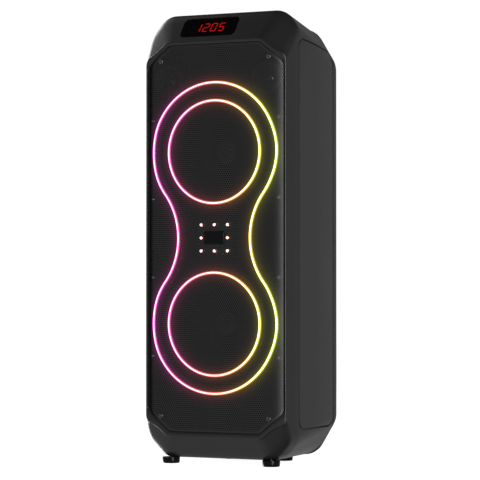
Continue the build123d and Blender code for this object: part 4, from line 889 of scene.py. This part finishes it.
BADGE_HALF, BADGE_CORNER = (16.0, 9.5), 2.0
BADGE_PROFILE = (     # spread, depth
    (0.0, -86.0), (0.0, -86.9), (-0.25, -87.3), (-0.7, -87.55), (-1.6, -87.6), (-5.0, -87.6),
)
badge_rings = []
for spread, y in BADGE_PROFILE:
    half_x, half_z = BADGE_HALF[0] + spread, BADGE_HALF[1] + spread
    outline = rectangle(half_x, half_z, max(BADGE_CORNER + spread, 0.6), (0.0, MID_Z))
    badge_rings.append(at_depth(outline, y))
skin(
    "badge_blank", badge_rings, loop_rows=False, caps=True,
    slot="badge_plastic", stands_for=["badge_plate"],
)

# ---------------------------------------------------------------- lit digits
DIGIT_H, DIGIT_W, DIGIT_PITCH, SLANT, STROKE = 14.2, 7.6, 12.7, 0.12, 1.2
DIGIT_BACK, DIGIT_FACE, DIGIT_GAP = -2.02, -1.86, 0.25      # heights below the window's plane
SEGMENTS = {          # ends of each bar, in shares of a digit's width and height
    "a": ((0, 1), (1, 1)), "b": ((1, 1), (1, 0.5)), "c": ((1, 0.5), (1, 0)), "d": ((0, 0), (1, 0)),
    "e": ((0, 0.5), (0, 0)), "f": ((0, 1), (0, 0.5)), "g": ((0, 0.5), (1, 0.5)),
}
DIGITS = {"0": "abcdef", "1": "bc", "2": "abged", "5": "afgcd"}


def segment(start, end, origin):
    """Six-sided bar between two corners of a digit."""
    first, second = Vector(start), Vector(end)
    run = (second - first).normalized()
    first, second = first + run * DIGIT_GAP, second - run * DIGIT_GAP
    side_way = Vector((-run.y, run.x)) * STROKE / 2
    tip = run * STROKE / 2
    points = [
        first, first + tip + side_way, second - tip + side_way,
        second, second - tip - side_way, first + tip - side_way,
    ]
    return [(origin[0] + p.x + SLANT * p.y, origin[1] + p.y) for p in points]


digit_verts, digit_faces = [], []
for place, digit in enumerate("1205"):
    left = -1.5 * DIGIT_PITCH - DIGIT_W / 2 - SLANT * DIGIT_H / 2 + place * DIGIT_PITCH
    for key in DIGITS[digit]:
        (ax, ay), (bx, by) = SEGMENTS[key]
        start, end = (ax * DIGIT_W, ay * DIGIT_H), (bx * DIGIT_W, by * DIGIT_H)
        bar = segment(start, end, (left, -DIGIT_H / 2))
        base = len(digit_verts)
        for height in (DIGIT_BACK, DIGIT_FACE):
            digit_verts += [on_display(x, z, height) for x, z in bar]
        back, face = [base + k for k in range(6)], [base + 6 + k for k in range(6)]
        digit_faces += [tuple(reversed(back)), tuple(face)]
        digit_faces += [(back[k - 1], back[k], face[k], face[k - 1]) for k in range(6)]
digits = clean(piece("display_digits", digit_verts, digit_faces, slot="display_plastic"))
digits.data.materials[0] = DIGIT_RED


def flexing(name, profile, woofer, held_r, free_r, **extra):
    """Turned cloth or rubber about a woofer's axis. held_r and free_r are not used."""
    spot = (0.0, WOOFERS[woofer])
    made = lathe(name, profile, spot, 128, closed=True, body=None, smooth=60.0, **extra)
    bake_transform(made)
    places = points_of(made)


ROLL = [
    (58.3, -69.5), (58.3, -70.1), *bow((61.1, -70.1), (71.5, -70.5), -5.0, 17),
    (72.7, -70.5), (72.7, -70.05), *bow((70.8, -70.05), (61.8, -69.5), -4.4, 17),
]
SPIDER_IN, SPIDER_OUT, SPIDER_RIM, SPIDER_Y = 13.1, 35.2, 38.4, -40.3
WAVE_HEIGHT, WAVE_COUNT, WAVE_STEPS, CLOTH_HALF = 1.1, 5, 60, 0.25
wave = []
for step in range(WAVE_STEPS + 1):
    height = WAVE_HEIGHT * sin(pi * WAVE_COUNT * step / WAVE_STEPS)
    wave.append((SPIDER_IN + (SPIDER_OUT - SPIDER_IN) * step / WAVE_STEPS, SPIDER_Y - height))
SPIDER = [
    *[(r, y + CLOTH_HALF) for r, y in wave],
    (SPIDER_RIM, SPIDER_Y + CLOTH_HALF), (SPIDER_RIM, SPIDER_Y - CLOTH_HALF),
    *[(r, y - CLOTH_HALF) for r, y in reversed(wave)],
]
for woofer in WOOFERS:
    flexing(
        f"woofer_{woofer}_roll", ROLL, woofer, 61.5, 71.0,
        slot="surround_rubber", stands_for=[f"woofer_{woofer}_surround"],
    )
    flexing(
        f"woofer_{woofer}_centring", SPIDER, woofer, 14.0, 35.0,
        slot="spider_cloth", stands_for=[f"woofer_{woofer}_spider"],
    )

# ---------------------------------------------------------------- feet
FOOT_PLACES = [(side * x, y) for side in (-1, 1) for x, y in ((81.0, -66.0), (44.0, 50.0))]
FOOT_PROFILE = [      # radius, height; with a well for the screw underneath
    (AXIS_R, 5.0), (4.4, 5.0), (4.4, 0.4), (4.8, 0.0), (10.6, 0.0), (11.5, 0.25), (12.1, 0.9),
    (12.35, 1.8), (12.7, 8.6), (12.6, FOOT_HEIGHT), (AXIS_R, FOOT_HEIGHT),
]
for number, spot in enumerate(FOOT_PLACES, 1):
    rings = []
    for radius, z in FOOT_PROFILE:
        flat = circle(radius, spot, 72)
        rings.append(np.column_stack([flat, np.full(len(flat), z)]))
    skin(
        f"foot_{number}", rings, loop_rows=False,
        slot="foot_rubber", stands_for=["feet"], smooth=40.0,
    )

# ---------------------------------------------------------------- camera, in metres
camera_data = bpy.data.cameras.new("camera")
camera_data.lens = 180.0
camera_data.sensor_width = 36.0
camera = placed("camera", camera_data)
AZIMUTH, DISTANCE, EYE_Z, AIM_Z, AIM_SIDE = radians(27.5), 3.5, 0.259, 0.3228, -0.0029
away = Vector((sin(AZIMUTH), -cos(AZIMUTH), 0.0))
across = Vector((cos(AZIMUTH), sin(AZIMUTH), 0.0))
aim = across * AIM_SIDE + Vector((0.0, 0.0, AIM_Z))
camera.location = aim + away * DISTANCE
camera.location.z = EYE_Z
camera.rotation_euler = (aim - camera.location).to_track_quat("-Z", "Y").to_euler()
bpy.context.scene.camera = camera

# ---------------------------------------------------------------- white floor and light, in metres
FLOOR_HALF = 6.0
WHITE = (1.0, 1.0, 1.0, 1.0)
floor_mesh = bpy.data.meshes.new("floor")
floor_corners = [(x * FLOOR_HALF, y * FLOOR_HALF, 0) for x, y in ((-1, -1), (1, -1), (1, 1), (-1, 1))]
floor_mesh.from_pydata(floor_corners, [], [(0, 1, 2, 3)])
floor = placed("floor", floor_mesh)
floor_finish, _, floor_shader, _ = blank("floor", Roughness=0.9)
floor_shader.inputs["Base Color"].default_value = (0.82, 0.82, 0.82, 1.0)
floor_shader.inputs["Emission Color"].default_value = WHITE
floor_shader.inputs["Emission Strength"].default_value = 0.95
floor.visible_diffuse = False
floor.visible_glossy = False
floor.visible_shadow = False
floor_mesh.materials.append(floor_finish)

# the world is white to the camera; to the object it is grey at its height, darker overhead,
# lit a little from below and dark low at the front right
SHADE_TOWARDS = (0.45, -0.25, -0.86)
world = bpy.data.worlds.new("studio")
bpy.context.scene.world = world
world.use_nodes = True
sky = world.node_tree
backdrop = sky.nodes["Background"]
backdrop.inputs["Color"].default_value = WHITE
seen = put(sky, "LightPath").outputs["Is Camera Ray"]
heading = put(sky, "TexCoord").outputs["Generated"]
height = put(sky, "SeparateXYZ", {"Vector": heading}).outputs["Z"]
above = shift(sky, height, 0.3, 0.03, 0.1, 0.7)
below = shift(sky, height, 0.25, 0.0, -0.7, -0.15)
along = put(sky, "VectorMath", {0: heading, 1: SHADE_TOWARDS}, operation="DOT_PRODUCT")
shaded = shift(sky, along.outputs["Value"], 0.0, 0.6, 0.6, 0.92)
around = combined(sky, "SUBTRACT", combined(sky, "ADD", above, below), shaded)
strength = shift(sky, combined(sky, "MAXIMUM", around, seen), 0.0, 1.05)
sky.links.new(strength, backdrop.inputs["Strength"])


def softbox(name, power, size, spot, target):
    """Rectangular area light aimed at a point."""
    data = bpy.data.lights.new(name, "AREA")
    data.energy, data.shape, data.size, data.size_y = power, "RECTANGLE", *size
    made = placed(name, data)
    made.location = spot
    made.rotation_euler = (Vector(target) - Vector(spot)).to_track_quat("-Z", "Y").to_euler()


softbox("key", 42.0, (0.5, 2.2), (1.75, -1.65, 0.5), (0.0, 0.0, 0.33))
softbox("rim", 13.0, (0.9, 1.4), (-2.0, 1.2, 1.1), (0.0, 0.0, 0.4))
softbox("low_rim", 14.0, (0.9, 0.8), (-1.9, 1.0, -0.7), (0.0, 0.0, 0.2))
softbox("high_left", 2.4, (1.2, 1.2), (-1.5, 0.2, 2.0), (0.0, 0.0, 0.5))
bpy.context.scene.view_settings.view_transform = "Standard"

low, high = CAD_BOX
